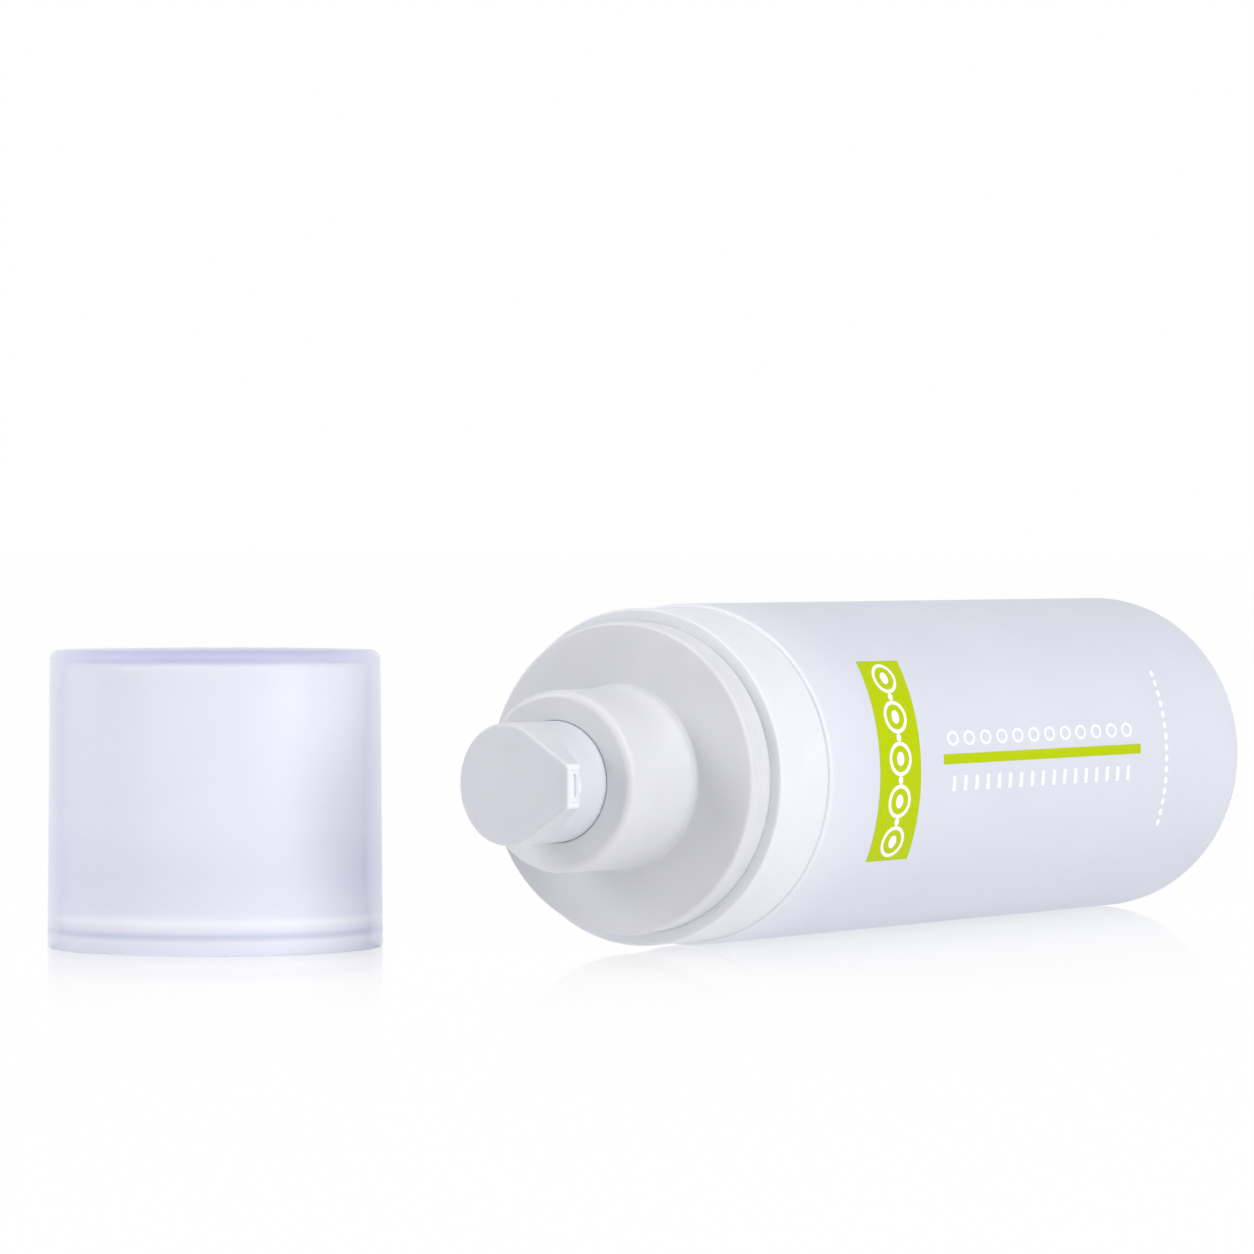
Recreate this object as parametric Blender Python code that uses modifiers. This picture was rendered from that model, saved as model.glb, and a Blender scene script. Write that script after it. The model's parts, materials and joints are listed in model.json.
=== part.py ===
"""Airless pump bottle lying on its side, with its cap standing beside it.

Metres, +Z up. The bottle is drawn upright on its own axis, with its base at height 0 and its snout
towards local +X, and an empty lays it down: its base looks along +X and its snout along -Y.
"""

import math

import bpy
from mathutils import Matrix, Vector

MM = 0.001

# Fits between pieces
SEAT_GAP = 0.3 * MM
HEAD_CLEARANCE = 0.5 * MM
LIP_CLEARANCE = 0.3 * MM
VESSEL_CLEARANCE = 0.4 * MM
CAP_CLEARANCE = 0.15 * MM
CLOSURE_CLEARANCE = 0.6 * MM
INSERT_GAP = 0.1 * MM
VALVE_GAP = 0.1 * MM
CUT_OVERRUN = 2.0 * MM
WELD_DISTANCE = 0.001 * MM

# Outer bottle
BODY_DIAMETER = 43.5 * MM
BODY_HEIGHT = 114.7 * MM
BODY_WALL = 1.5 * MM
BASE_CORNER_RADIUS = 6.6 * MM
BASE_THICKNESS = 2.0 * MM
FOOT_RING_WIDTH = 2.8 * MM
PUNT_DEPTH = 0.8 * MM
VENT_DIAMETER = 2.0 * MM
MOUTH_EDGE_RADIUS = 0.65 * MM
FLANGE_SEAT_WIDTH = 0.6 * MM

# Inner vessel
VESSEL_WALL = 1.2 * MM
FLANGE_THICKNESS = 1.2 * MM
SHOULDER_THICKNESS = 1.6 * MM
SHOULDER_FILLET = 0.8 * MM
NECK_WALL = 1.3 * MM
NECK_HEIGHT = 6.8 * MM
NECK_BEAD = 0.5 * MM

# Plug in the vessel's lower end
PLUG_THICKNESS = 1.2 * MM
PLUG_RING_HEIGHT = 2.4 * MM
PLUG_RING_WALL = 1.2 * MM
AIR_HOLE_DIAMETER = 3.0 * MM

# Follower piston
FOLLOWER_HEIGHT = 12.0 * MM
FOLLOWER_WALL = 1.1 * MM
FOLLOWER_LIP_HEIGHT = 2.0 * MM
FOLLOWER_WAIST_DEPTH = 0.5 * MM
WELL_CLEARANCE = 0.8 * MM

# Shoulder collar
COLLAR_STEP = 0.5 * MM
COLLAR_HEIGHT = 10.87 * MM
COLLAR_EDGE_RADIUS = 0.5 * MM
COLLAR_WEB_THICKNESS = 1.4 * MM
CAP_SEAT_WIDTH = 1.65 * MM

# Closure ring
CLOSURE_WALL = 1.3 * MM
CLOSURE_LIP_HEIGHT = 1.3 * MM
CLOSURE_EDGE_RADIUS = 0.4 * MM

# Neck gasket
GASKET_THICKNESS = 1.0 * MM

# Pump housing
CHAMBER_DIAMETER = 12.0 * MM
HOUSING_WALL = 1.2 * MM
HOUSING_FLANGE_THICKNESS = 1.2 * MM
HOUSING_PLUG_DEPTH = 5.0 * MM
HOUSING_PLUG_WALL = 1.1 * MM
HOUSING_RISE = 3.0 * MM
CHAMBER_FLOOR_THICKNESS = 1.4 * MM
DEAD_HEIGHT = 0.6 * MM
INLET_BORE_DIAMETER = 2.0 * MM
INLET_TUBE_WALL = 1.1 * MM
INLET_TAIL = 2.0 * MM
INLET_LIP_THICKNESS = 0.6 * MM
INLET_LIP_HOLD = 0.15 * MM
FLUTE_WIDTH = 0.9 * MM
FLUTE_COUNT = 3

# Cap of the housing
HOUSING_CAP_WALL = 1.2 * MM
HOUSING_CAP_EDGE_RADIUS = 0.3 * MM
SLEEVE_HEIGHT = 1.0 * MM
SLEEVE_WALL = 0.9 * MM

# Valve balls
INLET_BALL_DIAMETER = 3.2 * MM
INLET_LIFT = 0.8 * MM
OUTLET_BALL_DIAMETER = 2.8 * MM
OUTLET_LIFT = 0.6 * MM

# Stem and its piston
STROKE = 5.0 * MM
PISTON_HEIGHT = 5.0 * MM
PISTON_TOP_GAP = 1.0 * MM
PISTON_LIP_HEIGHT = 1.1 * MM
PISTON_WAIST_DEPTH = 0.5 * MM
STEM_DIAMETER = 6.0 * MM
STEM_BORE_DIAMETER = 1.8 * MM
STEM_WAIST_DIAMETER = 4.4 * MM
STEM_FOOT_DIAMETER = 7.2 * MM
STEM_FOOT_THICKNESS = 0.8 * MM
STEM_RISE = 5.0 * MM

# Pump cover: the disc with its boss
DISC_HEIGHT = 4.22 * MM
DISC_WALL = 1.5 * MM
DISC_EDGE_RADIUS = 0.4 * MM
COVER_SKIRT_WALL = 1.2 * MM
COVER_BEAD = 0.25 * MM
COVER_BEAD_HEIGHT = 1.0 * MM
BOSS_DIAMETER = 22.8 * MM
BOSS_HEIGHT = 14.5 * MM
BOSS_DRAFT = 0.1 * MM
BOSS_EDGE_RADIUS = 1.0 * MM
BOSS_ROOT_RADIUS = 0.4 * MM
BOSS_WALL = 1.3 * MM
BOSS_FRONT_WALL = 1.6 * MM
GUIDE_WALL = 1.2 * MM
GUIDE_EDGE_RADIUS = 0.3 * MM

# Head that the finger presses
HEAD_DIAMETER = 15.0 * MM
HEAD_WALL = 1.2 * MM
HEAD_RISE = 11.13 * MM
HEAD_ENGAGEMENT = 7.0 * MM
HEAD_EDGE_RADIUS = 0.3 * MM
HEAD_SLOPE = math.radians(8.9)
CROWN_THICKNESS = 2.4 * MM
SNOUT_REACH = 10.4 * MM
SNOUT_WIDTH = 5.0 * MM
SNOUT_HEIGHT = 2.48 * MM
SNOUT_UNDERCUT = 2.1 * MM
SNOUT_SINK = 0.05 * MM
SOCKET_DEPTH = 6.0 * MM
SOCKET_WALL = 1.2 * MM
CHANNEL_DIAMETER = 1.6 * MM
CHANNEL_DEPTH = 1.55 * MM
SNOUT_TUBE_WALL = 0.53 * MM
RISER_DIAMETER = 2.0 * MM

# Insert in the snout
INSERT_WIDTH = 3.9 * MM
INSERT_HEIGHT = 1.7 * MM
INSERT_DEPTH = 1.8 * MM
SLOT_WIDTH = 3.05 * MM
SLOT_HEIGHT = 0.95 * MM

# Return spring
SPRING_WIRE_DIAMETER = 0.8 * MM
SPRING_TURNS = 8
SPRING_END_TURNS = 1
SPRING_POINTS_A_TURN = 10

# Cap
CAP_HEIGHT = 37.65 * MM
CAP_DRAFT = 0.3 * MM
CAP_PLATE = 1.65 * MM
CAP_WALL = 1.95 * MM
CAP_TOP_EDGE_RADIUS = 1.2 * MM
CAP_RIM_EDGE_RADIUS = 0.25 * MM
CAP_INNER_FILLET = 1.0 * MM
CAP_RECESS_HEIGHT = 4.2 * MM
CAP_LEDGE_TAPER = 0.7 * MM
CAP_GROOVE_HEIGHT = 2.35 * MM
CAP_SPACING = 6.24 * MM
CAP_SETBACK = 8.86 * MM

# Facets of the turned pieces
BODY_STEPS = 48
VESSEL_STEPS = 32
HEAD_STEPS = 40
PUMP_STEPS = 24
STEM_STEPS = 20
BALL_STEPS = 12
BASE_CORNER_STEPS = 6
INNER_CORNER_STEPS = 4
FILLET_STEPS = 3

# Radii that follow
body_radius = BODY_DIAMETER / 2
body_inner_radius = body_radius - BODY_WALL
flange_seat_radius = body_inner_radius + FLANGE_SEAT_WIDTH
vessel_radius = body_inner_radius - VESSEL_CLEARANCE
vessel_inner_radius = vessel_radius - VESSEL_WALL
collar_radius = body_radius - COLLAR_STEP
cover_radius = collar_radius - CAP_SEAT_WIDTH
cover_skirt_radius = cover_radius - COVER_SKIRT_WALL
closure_radius = cover_skirt_radius - CLOSURE_CLEARANCE
closure_groove_radius = closure_radius - CLOSURE_WALL
closure_lip_radius = closure_groove_radius - NECK_BEAD
neck_radius = closure_lip_radius - SEAT_GAP
neck_inner_radius = neck_radius - NECK_WALL
chamber_radius = CHAMBER_DIAMETER / 2
housing_radius = chamber_radius + HOUSING_WALL
inlet_ball_radius = INLET_BALL_DIAMETER / 2
outlet_ball_radius = OUTLET_BALL_DIAMETER / 2
inlet_bore_radius = INLET_BORE_DIAMETER / 2
inlet_cage_radius = inlet_ball_radius + SEAT_GAP
inlet_tube_radius = inlet_cage_radius + INLET_TUBE_WALL
inlet_lip_radius = inlet_ball_radius - INLET_LIP_HOLD
stem_radius = STEM_DIAMETER / 2
stem_bore_radius = STEM_BORE_DIAMETER / 2
stem_waist_radius = STEM_WAIST_DIAMETER / 2
outlet_cage_radius = outlet_ball_radius + SEAT_GAP
head_radius = HEAD_DIAMETER / 2
head_inner_radius = head_radius - HEAD_WALL
guide_bore_radius = head_radius + HEAD_CLEARANCE
guide_radius = guide_bore_radius + GUIDE_WALL
boss_radius = BOSS_DIAMETER / 2
riser_radius = RISER_DIAMETER / 2
channel_radius = CHANNEL_DIAMETER / 2
socket_radius = stem_radius + SEAT_GAP
socket_outer_radius = socket_radius + SOCKET_WALL

# Heights on the bottle's axis that follow, from the base up
inner_corner_radius = BASE_CORNER_RADIUS - BODY_WALL
bottle_floor = PUNT_DEPTH + BASE_THICKNESS
flange_seat = BODY_HEIGHT - FLANGE_THICKNESS - SEAT_GAP
plug_bottom = bottle_floor + inner_corner_radius + SEAT_GAP
plug_top = plug_bottom + PLUG_THICKNESS
plug_ring_top = plug_top + PLUG_RING_HEIGHT
vessel_bottom = plug_top + SEAT_GAP
vessel_ceiling = BODY_HEIGHT - SHOULDER_THICKNESS
follower_bottom = plug_ring_top + SEAT_GAP
follower_top = follower_bottom + FOLLOWER_HEIGHT
collar_bottom = BODY_HEIGHT + SEAT_GAP
collar_web_top = collar_bottom + COLLAR_WEB_THICKNESS
collar_top = collar_bottom + COLLAR_HEIGHT
neck_top = BODY_HEIGHT + NECK_HEIGHT
closure_bottom = collar_web_top + SEAT_GAP
closure_lip_top = closure_bottom + CLOSURE_LIP_HEIGHT
neck_bead_bottom = closure_lip_top + SEAT_GAP
gasket_bottom = neck_top + SEAT_GAP
housing_flange_bottom = gasket_bottom + GASKET_THICKNESS + SEAT_GAP
housing_flange_top = housing_flange_bottom + HOUSING_FLANGE_THICKNESS
closure_ceiling = housing_flange_top + SEAT_GAP
closure_top = closure_ceiling + CLOSURE_WALL
housing_top = closure_top + HOUSING_RISE
housing_cap_ceiling = housing_top + SEAT_GAP
housing_cap_top = housing_cap_ceiling + HOUSING_CAP_WALL
sleeve_top = housing_cap_top + SLEEVE_HEIGHT
disc_top = collar_top + DISC_HEIGHT
boss_top = disc_top + BOSS_HEIGHT
piston_top = housing_cap_ceiling - PISTON_TOP_GAP
piston_bottom = piston_top - PISTON_HEIGHT
stem_foot_top = piston_bottom - SEAT_GAP
stem_foot_bottom = stem_foot_top - STEM_FOOT_THICKNESS
chamber_floor = stem_foot_bottom - STROKE - DEAD_HEIGHT
stem_top = boss_top + STEM_RISE
socket_end = stem_top + SEAT_GAP
head_bottom = boss_top - HEAD_ENGAGEMENT


def held_below(edge_height, edge_radius, ball_radius):
    """Height of a ball's centre when it has risen against a round edge above it."""
    return edge_height - math.sqrt(ball_radius ** 2 - edge_radius ** 2) - VALVE_GAP


def cone_below(ball_height, bore_radius, ball_radius):
    """Height of the foot of the 45 degree seat that a ball lies on."""
    return ball_height + bore_radius - math.sqrt(2) * (ball_radius + VALVE_GAP)


inlet_lip_bottom = chamber_floor - INLET_LIP_THICKNESS
inlet_ball_height = held_below(inlet_lip_bottom, inlet_lip_radius, inlet_ball_radius) - INLET_LIFT
inlet_seat = cone_below(inlet_ball_height, inlet_bore_radius, inlet_ball_radius)
inlet_bottom = inlet_seat - INLET_TAIL
outlet_ball_height = held_below(socket_end, riser_radius, outlet_ball_radius) - OUTLET_LIFT
outlet_seat = cone_below(outlet_ball_height, stem_bore_radius, outlet_ball_radius)


def crown_height(x):
    """Height of the head's sloping top, x from the axis towards the snout."""
    return boss_top + HEAD_RISE + x * math.tan(HEAD_SLOPE)


snout_top = crown_height(SNOUT_REACH)
snout_bottom = snout_top - SNOUT_HEIGHT
pocket_top = crown_height(-head_radius) - CROWN_THICKNESS
cap_radius = collar_radius
cap_along = snout_top - CAP_SETBACK
cap_beside = body_radius + cap_radius + CAP_SPACING
base_x = (cap_along + cap_radius) / 2
bottle_y = (body_radius - cap_beside - cap_radius) / 2

COLOURS = {
    "outer_bottle": (0.86, 0.88, 0.94, 1.0),
    "inner_vessel": (0.90, 0.90, 0.93, 1.0),
    "vessel_base": (0.90, 0.90, 0.93, 1.0),
    "follower_piston": (0.92, 0.92, 0.92, 1.0),
    "shoulder_collar": (0.90, 0.90, 0.92, 1.0),
    "closure_ring": (0.88, 0.88, 0.88, 1.0),
    "neck_gasket": (0.80, 0.80, 0.78, 1.0),
    "pump_housing": (0.88, 0.88, 0.88, 1.0),
    "housing_cap": (0.88, 0.88, 0.88, 1.0),
    "stem": (0.90, 0.90, 0.90, 1.0),
    "chamber_piston": (0.93, 0.93, 0.93, 1.0),
    "inlet_ball": (0.75, 0.80, 0.82, 1.0),
    "outlet_ball": (0.75, 0.80, 0.82, 1.0),
    "return_spring": (0.60, 0.60, 0.60, 1.0),
    "pump_cover": (0.88, 0.88, 0.90, 1.0),
    "actuator": (0.86, 0.86, 0.89, 1.0),
    "nozzle_insert": (0.93, 0.93, 0.94, 1.0),
    "cap": (0.87, 0.86, 0.94, 1.0),
}
ROUGHNESS = {"outer_bottle": 0.45, "cap": 0.4, "return_spring": 0.25, "inlet_ball": 0.1, "outlet_ball": 0.1}
SATIN_ROUGHNESS = 0.35
STEEL = {"return_spring"}


def clear_scene():
    for thing in list(bpy.data.objects):
        bpy.data.objects.remove(thing, do_unlink=True)


def new_collection(name):
    collection = bpy.data.collections.new(name)
    bpy.context.scene.collection.children.link(collection)
    return collection


def new_axis(name, matrix):
    axis = bpy.data.objects.new(name, None)
    axis.matrix_world = matrix
    parts.objects.link(axis)
    return axis


def finish(name):
    """The plastic, rubber, glass or steel of one piece."""
    material = bpy.data.materials.new(name)
    material.use_nodes = True
    shader = material.node_tree.nodes["Principled BSDF"]
    shader.inputs["Base Color"].default_value = COLOURS[name]
    shader.inputs["Roughness"].default_value = ROUGHNESS.get(name, SATIN_ROUGHNESS)
    shader.inputs["Metallic"].default_value = float(name in STEEL)
    return material


def part(name, mesh, axis, place=(0, 0, 0)):
    piece = bpy.data.objects.new(name, mesh)
    parts.objects.link(piece)
    piece.parent = axis
    piece.location = place
    mesh.materials.append(finish(name))
    return piece


def cutter(name, mesh, axis, place=(0, 0, 0)):
    tool = bpy.data.objects.new(name, mesh)
    cutters.objects.link(tool)
    tool.parent = axis
    tool.location = place
    tool.display_type = "WIRE"
    tool.hide_render = True
    return tool


def fillet(before, corner, after, radius, steps):
    """Points of the arc that rounds a corner between two straight sides."""
    to_before = (before - corner).normalized()
    to_after = (after - corner).normalized()
    half = to_before.angle(to_after) / 2
    start = corner + to_before * (radius / math.tan(half))
    middle = corner + (to_before + to_after).normalized() * (radius / math.sin(half))
    arm = start - middle
    turn = math.pi - 2 * half
    if to_before.cross(to_after) > 0:
        turn = -turn
    return [middle + Matrix.Rotation(turn * k / steps, 2) @ arm for k in range(steps + 1)]


def outline(corners, closed):
    """Profile points from corners (radius, height[, fillet radius[, fillet steps]])."""
    spots = [Vector(corner[:2]) for corner in corners]
    points = []
    for k, corner in enumerate(corners):
        radius = corner[2] if len(corner) > 2 else 0
        steps = corner[3] if len(corner) > 3 else FILLET_STEPS
        inside = closed or 0 < k < len(corners) - 1
        if radius > 0 and inside:
            following = spots[(k + 1) % len(spots)]
            points += fillet(spots[k - 1], spots[k], following, radius, steps)
        else:
            points.append(spots[k])
    return points


def profile_mesh(name, corners, closed):
    points = outline(corners, closed)
    edges = [(k, k + 1) for k in range(len(points) - 1)]
    if closed:
        edges.append((len(points) - 1, 0))
    mesh = bpy.data.meshes.new(name)
    mesh.from_pydata([(p.x, 0, p.y) for p in points], edges, [])
    return mesh


def screw(piece, steps):
    turn = piece.modifiers.new("turn", "SCREW")
    turn.steps = steps
    turn.render_steps = steps
    turn.use_merge_vertices = True
    turn.merge_threshold = WELD_DISTANCE
    turn.use_smooth_shade = True


def even_shading(piece):
    """Rounds the light over fillets and keeps broad faces flat."""
    normals = piece.modifiers.new("shading", "WEIGHTED_NORMAL")
    normals.weight = 100


def turned(name, corners, steps, axis, closed=True):
    piece = part(name, profile_mesh(name, corners, closed), axis)
    screw(piece, steps)
    even_shading(piece)
    return piece


def boolean(piece, tool, operation="DIFFERENCE"):
    """Adds a cut or a join, before the shading."""
    step = piece.modifiers.new(tool.name, "BOOLEAN")
    step.operation = operation
    step.object = tool
    step.solver = "EXACT"
    if "shading" in piece.modifiers:
        piece.modifiers.move(len(piece.modifiers) - 1, len(piece.modifiers) - 2)


def shape(name, add, **sizes):
    """A primitive's mesh, taken from the object that Blender adds."""
    add(**sizes)
    thing = bpy.context.object
    mesh = thing.data
    bpy.data.objects.remove(thing)
    mesh.name = name
    return mesh


def block(name, low, high):
    """A box between two corners."""
    mesh = shape(name, bpy.ops.mesh.primitive_cube_add, size=1)
    size = Vector(high) - Vector(low)
    middle = (Vector(high) + Vector(low)) / 2
    mesh.transform(Matrix.Translation(middle) @ Matrix.Diagonal((*size, 1)))
    return mesh


def rod(name, radius, length, sides):
    mesh = shape(name, bpy.ops.mesh.primitive_cylinder_add, vertices=sides, radius=radius, depth=length)
    mesh.shade_smooth()
    return mesh


def ball(name, radius, axis, height):
    add = bpy.ops.mesh.primitive_uv_sphere_add
    mesh = shape(name, add, segments=BALL_STEPS, ring_count=BALL_STEPS // 2 + 1, radius=radius)
    mesh.shade_smooth()
    return part(name, mesh, axis, (0, 0, height))


def plain_mesh(curve_object):
    """A curve's solid as a closed mesh, with the curve removed."""
    bpy.context.view_layer.update()
    graph = bpy.context.evaluated_depsgraph_get()
    mesh = bpy.data.meshes.new_from_object(curve_object.evaluated_get(graph))
    bpy.data.objects.remove(curve_object)
    return mesh


def prism(name, points, low, high):
    """A flat outline made as thick as the space between two heights."""
    curve = bpy.data.curves.new(name, "CURVE")
    curve.dimensions = "2D"
    curve.fill_mode = "BOTH"
    curve.extrude = (high - low) / 2
    line = curve.splines.new("POLY")
    line.points.add(len(points) - 1)
    line.use_cyclic_u = True
    for place, (x, y) in zip(line.points, points):
        place.co = (x, y, 0, 1)
    holder = bpy.data.objects.new(name, curve)
    cutters.objects.link(holder)
    mesh = plain_mesh(holder)
    mesh.transform(Matrix.Translation((0, 0, (high + low) / 2)))
    return mesh


def make_outer_bottle():
    foot_radius = body_radius - BASE_CORNER_RADIUS - FOOT_RING_WIDTH
    vent_radius = VENT_DIAMETER / 2
    corners = [
        (flange_seat_radius, BODY_HEIGHT),
        (body_radius, BODY_HEIGHT, MOUTH_EDGE_RADIUS),
        (body_radius, 0, BASE_CORNER_RADIUS, BASE_CORNER_STEPS),
        (foot_radius, 0),
        (foot_radius - PUNT_DEPTH, PUNT_DEPTH),
        (vent_radius, PUNT_DEPTH),
        (vent_radius, bottle_floor),
        (body_inner_radius, bottle_floor, inner_corner_radius, INNER_CORNER_STEPS),
        (body_inner_radius, flange_seat),
        (flange_seat_radius, flange_seat),
    ]
    turned("outer_bottle", corners, BODY_STEPS, bottle_axis)


def make_inner_vessel():
    flange_radius = flange_seat_radius - SEAT_GAP
    bead_radius = neck_radius + NECK_BEAD
    bead_low = neck_bead_bottom + NECK_BEAD
    bead_high = bead_low + NECK_BEAD
    corners = [
        (neck_inner_radius, neck_top),
        (neck_radius, neck_top),
        (neck_radius, bead_high + NECK_BEAD),
        (bead_radius, bead_high),
        (bead_radius, bead_low),
        (neck_radius, neck_bead_bottom),
        (neck_radius, BODY_HEIGHT),
        (flange_radius, BODY_HEIGHT),
        (flange_radius, BODY_HEIGHT - FLANGE_THICKNESS),
        (vessel_radius, BODY_HEIGHT - FLANGE_THICKNESS),
        (vessel_radius, vessel_bottom),
        (vessel_inner_radius, vessel_bottom),
        (vessel_inner_radius, vessel_ceiling, SHOULDER_FILLET),
        (neck_inner_radius, vessel_ceiling),
    ]
    turned("inner_vessel", corners, VESSEL_STEPS, bottle_axis)


def make_vessel_base():
    ring_radius = vessel_inner_radius - SEAT_GAP
    ring_inner_radius = ring_radius - PLUG_RING_WALL
    hole_radius = AIR_HOLE_DIAMETER / 2
    corners = [
        (ring_inner_radius, plug_ring_top),
        (ring_radius, plug_ring_top),
        (ring_radius, plug_top),
        (vessel_radius, plug_top),
        (vessel_radius, plug_bottom),
        (hole_radius, plug_bottom),
        (hole_radius, plug_top),
        (ring_inner_radius, plug_top),
    ]
    turned("vessel_base", corners, VESSEL_STEPS, bottle_axis)


def make_follower_piston():
    radius = vessel_inner_radius - LIP_CLEARANCE
    waist = radius - FOLLOWER_WAIST_DEPTH
    inside = waist - FOLLOWER_WALL
    well_radius = inlet_tube_radius + WELL_CLEARANCE
    well_floor = follower_top - (vessel_ceiling - inlet_bottom) - WELL_CLEARANCE
    upper_lip = follower_top - SHOULDER_FILLET - FOLLOWER_LIP_HEIGHT
    lower_lip = follower_bottom + FOLLOWER_LIP_HEIGHT
    ceiling = follower_top - FOLLOWER_WALL
    corners = [
        (0, well_floor),
        (well_radius, well_floor),
        (well_radius, follower_top),
        (radius - SHOULDER_FILLET, follower_top),
        (radius, follower_top - SHOULDER_FILLET),
        (radius, upper_lip),
        (waist, upper_lip - FOLLOWER_WAIST_DEPTH),
        (waist, lower_lip + FOLLOWER_WAIST_DEPTH),
        (radius, lower_lip),
        (radius, follower_bottom),
        (radius - FOLLOWER_WALL, follower_bottom),
        (inside, lower_lip),
        (inside, ceiling),
        (well_radius + FOLLOWER_WALL, ceiling),
        (well_radius + FOLLOWER_WALL, well_floor - FOLLOWER_WALL),
        (0, well_floor - FOLLOWER_WALL),
    ]
    turned("follower_piston", corners, VESSEL_STEPS, bottle_axis, closed=False)


def make_shoulder_collar():
    opening_radius = cover_radius + SEAT_GAP
    web_radius = neck_radius + SEAT_GAP
    corners = [
        (opening_radius, collar_top),
        (collar_radius, collar_top, COLLAR_EDGE_RADIUS),
        (collar_radius, collar_bottom),
        (web_radius, collar_bottom),
        (web_radius, collar_web_top),
        (opening_radius, collar_web_top),
    ]
    turned("shoulder_collar", corners, BODY_STEPS, bottle_axis)


def make_closure_ring():
    hole_radius = housing_radius + SEAT_GAP
    corners = [
        (hole_radius, closure_top),
        (closure_radius, closure_top, CLOSURE_EDGE_RADIUS),
        (closure_radius, closure_bottom),
        (closure_lip_radius, closure_bottom),
        (closure_lip_radius, closure_lip_top),
        (closure_groove_radius, closure_lip_top + NECK_BEAD),
        (closure_groove_radius, closure_ceiling),
        (hole_radius, closure_ceiling),
    ]
    turned("closure_ring", corners, VESSEL_STEPS, bottle_axis)


def make_neck_gasket():
    top = gasket_bottom + GASKET_THICKNESS
    corners = [
        (neck_inner_radius, top),
        (neck_radius - SEAT_GAP, top),
        (neck_radius - SEAT_GAP, gasket_bottom),
        (neck_inner_radius, gasket_bottom),
    ]
    turned("neck_gasket", corners, VESSEL_STEPS, bottle_axis)


def make_pump_housing():
    flange_radius = neck_radius - SEAT_GAP
    plug_radius = neck_inner_radius - SEAT_GAP
    plug_inner_radius = plug_radius - HOUSING_PLUG_WALL
    plug_low = housing_flange_bottom - HOUSING_PLUG_DEPTH
    floor_bottom = chamber_floor - CHAMBER_FLOOR_THICKNESS
    corners = [
        (chamber_radius, housing_top),
        (housing_radius, housing_top),
        (housing_radius, housing_flange_top),
        (flange_radius, housing_flange_top),
        (flange_radius, housing_flange_bottom),
        (plug_radius, housing_flange_bottom),
        (plug_radius, plug_low),
        (plug_inner_radius, plug_low),
        (plug_inner_radius, housing_flange_bottom),
        (housing_radius, housing_flange_bottom),
        (housing_radius, floor_bottom),
        (inlet_tube_radius, floor_bottom),
        (inlet_tube_radius, inlet_bottom),
        (inlet_bore_radius, inlet_bottom),
        (inlet_bore_radius, inlet_seat),
        (inlet_cage_radius, inlet_seat + inlet_cage_radius - inlet_bore_radius),
        (inlet_cage_radius, inlet_lip_bottom),
        (inlet_lip_radius, inlet_lip_bottom),
        (inlet_lip_radius, chamber_floor),
        (chamber_radius, chamber_floor),
    ]
    housing = turned("pump_housing", corners, PUMP_STEPS, bottle_axis)
    low = (inlet_lip_radius / 2, -FLUTE_WIDTH / 2, inlet_lip_bottom - INLET_LIP_THICKNESS)
    high = (inlet_cage_radius + SEAT_GAP, FLUTE_WIDTH / 2, chamber_floor + INLET_LIP_THICKNESS)
    for k in range(FLUTE_COUNT):
        flute = cutter(f"inlet_flute_{k}", block("inlet_flute", low, high), bottle_axis)
        flute.rotation_euler.z = math.tau * k / FLUTE_COUNT
        boolean(housing, flute)


def make_housing_cap():
    hole_radius = stem_radius + SEAT_GAP
    skirt_inner_radius = housing_radius + SEAT_GAP
    skirt_radius = skirt_inner_radius + HOUSING_CAP_WALL
    skirt_bottom = closure_top + SEAT_GAP
    corners = [
        (hole_radius, sleeve_top),
        (hole_radius + SLEEVE_WALL, sleeve_top),
        (hole_radius + SLEEVE_WALL, housing_cap_top),
        (skirt_radius, housing_cap_top, HOUSING_CAP_EDGE_RADIUS),
        (skirt_radius, skirt_bottom),
        (skirt_inner_radius, skirt_bottom),
        (skirt_inner_radius, housing_cap_ceiling),
        (hole_radius, housing_cap_ceiling),
    ]
    turned("housing_cap", corners, PUMP_STEPS, bottle_axis)


def make_stem():
    shoulder = piston_top + SEAT_GAP
    foot_radius = STEM_FOOT_DIAMETER / 2
    corners = [
        (outlet_cage_radius, stem_top),
        (stem_radius, stem_top),
        (stem_radius, shoulder),
        (stem_waist_radius, shoulder),
        (stem_waist_radius, stem_foot_top),
        (foot_radius, stem_foot_top),
        (foot_radius, stem_foot_bottom),
        (stem_bore_radius, stem_foot_bottom),
        (stem_bore_radius, outlet_seat),
        (outlet_cage_radius, outlet_seat + outlet_cage_radius - stem_bore_radius),
    ]
    turned("stem", corners, STEM_STEPS, head_axis)


def make_chamber_piston():
    radius = chamber_radius - LIP_CLEARANCE
    waist = radius - PISTON_WAIST_DEPTH
    bore = stem_waist_radius + SEAT_GAP
    upper_lip = piston_top - PISTON_LIP_HEIGHT
    lower_lip = piston_bottom + PISTON_LIP_HEIGHT
    corners = [
        (bore, piston_top),
        (radius, piston_top),
        (radius, upper_lip),
        (waist, upper_lip - PISTON_WAIST_DEPTH),
        (waist, lower_lip + PISTON_WAIST_DEPTH),
        (radius, lower_lip),
        (radius, piston_bottom),
        (bore, piston_bottom),
    ]
    turned("chamber_piston", corners, PUMP_STEPS, head_axis)


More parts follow.
